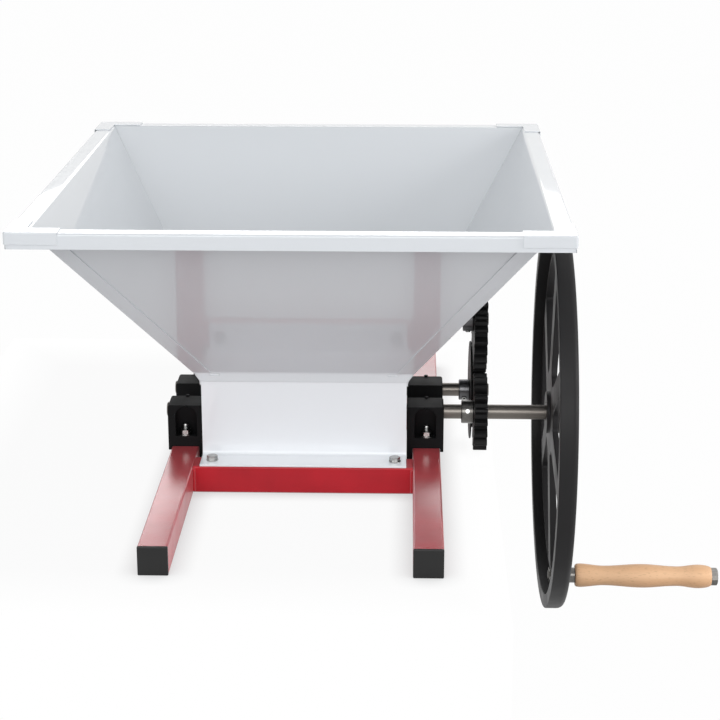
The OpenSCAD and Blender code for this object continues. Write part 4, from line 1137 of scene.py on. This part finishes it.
HANDLE_PITCH = 0.0015
SPACER = 0.008
grip_low, grip_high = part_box("handle_grip")
head_low = grip_high.x + 0.0003
GRIP_LENGTH = grip_high.x - grip_low.x
GRIP_THICK = (grip_high.y - grip_low.y) / 2
GRIP_WAIST = 0.0102
GRIP_NOSE = [(0.0, 0.0016), (0.0008, 0.0007), (0.0022, 0.0002)]  # (way from the end, thinner by)
GRIP_SHAPE = [(0.03, 1), (0.21, 0), (0.49, 1), (0.75, 0), (0.905, 1)]  # (share of length, 0 waist to 1 full)
GRIP_STEPS = 9
GRIP_END_DROP = 0.004
GRIP_END_TURN = 72


def grip():
    """Turned handle with two waists and a rounded far end."""
    stations = [(x, GRIP_THICK - drop) for x, drop in GRIP_NOSE]
    for (start, size), (end, next_size) in zip(GRIP_SHAPE, GRIP_SHAPE[1:]):
        for step in range(GRIP_STEPS):
            share = step / GRIP_STEPS
            full = size + (next_size - size) * (1 - cos(pi * share)) / 2
            stations.append((GRIP_LENGTH * (start + (end - start) * share),
                             GRIP_WAIST + (GRIP_THICK - GRIP_WAIST) * full))
    last = GRIP_SHAPE[-1][0]
    for a in range(0, GRIP_END_TURN + 1, 8):
        share = sin(radians(a)) / sin(radians(GRIP_END_TURN))
        stations.append((GRIP_LENGTH * (last + (1 - last) * share),
                         GRIP_THICK - GRIP_END_DROP * (1 - cos(radians(a)))))
    bore = HANDLE_BOLT + TURNING_GAP
    stations += [(GRIP_LENGTH, bore), (0.0, bore)]
    return lathe([(grip_low.x + x, radius) for x, radius in stations], GRIP_Y, GRIP_Z, 64, ring=True)


stem = (low("handle_bolt").x, head_low + HEAD_OVERLAP)
bolt = hex_bolt(HANDLE_BOLT, HANDLE_PITCH, (head_low, high("handle_bolt").x), stem)
piece(moved(bolt, shift(0, GRIP_Y, GRIP_Z) @ ALONG_X), "handle_bolt_hex", shaded_zinc, "handle_bolt")
for node in ("handle_inner_nut", "handle_outer_nut"):
    piece(laid(hex_nut(HANDLE_BOLT, span(node).x), node, "grip"), node + "_hex", shaded_zinc, node)
ring = laid(flat_washer(HANDLE_BOLT, span("handle_washer").x), "handle_washer", "grip")
piece(ring, "handle_washer_ring", shaded_zinc, "handle_washer")
piece(sleeve("handle_spacer", "grip", SPACER, HANDLE_HOLE, 0.0004), "handle_spacer_tube", shaded_zinc,
      "handle_spacer")
piece(grip(), "handle_grip_wood", beech, "handle_grip", smooth=40)


# Stage: white plinth under the rails, lower floor, soft lights and the camera

WHITE = (1, 1, 1, 1)
PALE = (0.42, 0.42, 0.43, 1)
SKY = (0.93, 0.96, 1.0, 1)
AMBIENT = 0.40
CONTACT_REACH = 0.024
# Painted contact shade: how far an occlusion mask darkens the plinth right beside what stands on it.
PAINTED_CONTACT_SHADE = 0.40
FLOOR_HEIGHT = -0.138
FLOOR_SIZE = 12
PLINTH_BOTTOM = FLOOR_HEIGHT + 0.0002
PLINTH_X = -0.1025
PLINTH_HALF_X = 0.2975
PLINTH_HALF_Y = 0.42


def seen(tree):
    """1 for what the camera sees, straight on or in gloss or glass, and 0 for the light that pieces get."""
    path = add(tree, "LightPath").outputs
    straight_or_gloss = calculate(tree, "MAXIMUM", path["Is Camera Ray"], path["Is Glossy Ray"])
    return calculate(tree, "MAXIMUM", straight_or_gloss, path["Is Transmission Ray"])


def white_ground(name, shadow, fade=None):
    """Pale ground that is seen as white, less a share of its shadow. On the plinth that share fades out
    between two distances, in parts of the way to its edge, and an occlusion mask adds painted contact
    shade right beside what stands on it."""
    made, tree, shader = material(name, Base_Color=PALE, Roughness=0.9, Specular_IOR_Level=0.0)
    glow = add(tree, "Emission", {"Color": WHITE, "Strength": 1.0})
    white = 1.0 - shadow
    if fade:
        centred = mapped(tree, object_place(tree), (-PLINTH_X / PLINTH_HALF_X, 0, 0),
                         (1 / PLINTH_HALF_X, 1 / PLINTH_HALF_Y, 0))
        spread = add(tree, "VectorMath", {0: centred}, operation="ABSOLUTE").outputs[0]
        apart = add(tree, "SeparateXYZ", {0: spread}).outputs
        far = calculate(tree, "MAXIMUM", apart[0], apart[1])
        # Painted contact shade: the occlusion mask decides where the plinth darkens beside the rails and
        # caps, on top of their real shadow.
        contact_shade_mask = add(tree, "AmbientOcclusion", {"Distance": CONTACT_REACH}, samples=8).outputs["AO"]
        white = calculate(tree, "SUBTRACT", remap(tree, far, *fade, 1.0 - shadow, 1.0),
                          remap(tree, contact_shade_mask, 0.35, 1.0, PAINTED_CONTACT_SHADE, 0.0), use_clamp=True)
    share = calculate(tree, "MULTIPLY", seen(tree), white)
    mix = add(tree, "MixShader", {0: share, 1: shader.outputs[0], 2: glow.outputs[0]})
    wire(tree, tree.nodes["Material Output"], Surface=mix.outputs[0])
    return made


def stage(obj, name, finish):
    obj.name = name
    obj.data.materials.append(finish)


def studio_world():
    """Even, slightly blue light all round, seen as white."""
    world = bpy.data.worlds.new("studio")
    bpy.context.scene.world = world
    world.use_nodes = True
    tree = world.node_tree
    background = tree.nodes["Background"]
    background.inputs["Color"].default_value = SKY
    background.inputs["Strength"].default_value = AMBIENT
    white = add(tree, "Background", {"Color": WHITE, "Strength": 1.0})
    mix = add(tree, "MixShader", {0: seen(tree), 1: background.outputs[0], 2: white.outputs[0]})
    wire(tree, tree.nodes["World Output"], Surface=mix.outputs[0])


def softbox(name, place, aim, size, power):
    light = bpy.data.lights.new(name, "AREA")
    light.shape = "RECTANGLE"
    light.size, light.size_y = size
    light.energy = power
    lamp = bpy.data.objects.new(name, light)
    bpy.context.scene.collection.objects.link(lamp)
    lamp.location = place
    lamp.rotation_euler = (Vector(aim) - Vector(place)).to_track_quat("-Z", "Y").to_euler()


plinth = block((PLINTH_X - PLINTH_HALF_X, -PLINTH_HALF_Y, PLINTH_BOTTOM),
               (PLINTH_X + PLINTH_HALF_X, PLINTH_HALF_Y, 0))
stage(plinth, "stage_plinth", white_ground("plinth_white", 0.055, (0.72, 0.94)))
only()
bpy.ops.mesh.primitive_plane_add(size=FLOOR_SIZE, location=(0, 0, FLOOR_HEIGHT))
stage(settle(bpy.context.object), "stage_floor", white_ground("floor_white", 0.015))

studio_world()
softbox("top_light", (0.0, 0.7, 2.2), (0, 0, 0.2), (1.8, 1.8), 3.5)
softbox("front_light", (-0.2, -2.0, 0.95), (0, 0, 0.10), (2.4, 1.1), 28)
softbox("back_light", (0.0, 2.4, 1.1), (0, 0, 0.05), (2.0, 0.5), 7)
softbox("right_light", (1.9, -0.5, 0.6), (0.25, 0, 0.1), (0.8, 1.2), 19)

camera_data = bpy.data.cameras.new("camera")
camera_data.lens = 92.64
camera_data.sensor_width = 36
camera = bpy.data.objects.new("camera", camera_data)
camera.location = (0.10196, -1.84437, 0.68753)
camera.rotation_euler = (radians(72.519), 0, radians(1.472))
bpy.context.scene.collection.objects.link(camera)
bpy.context.scene.camera = camera
bpy.context.scene.view_settings.view_transform = "Standard"
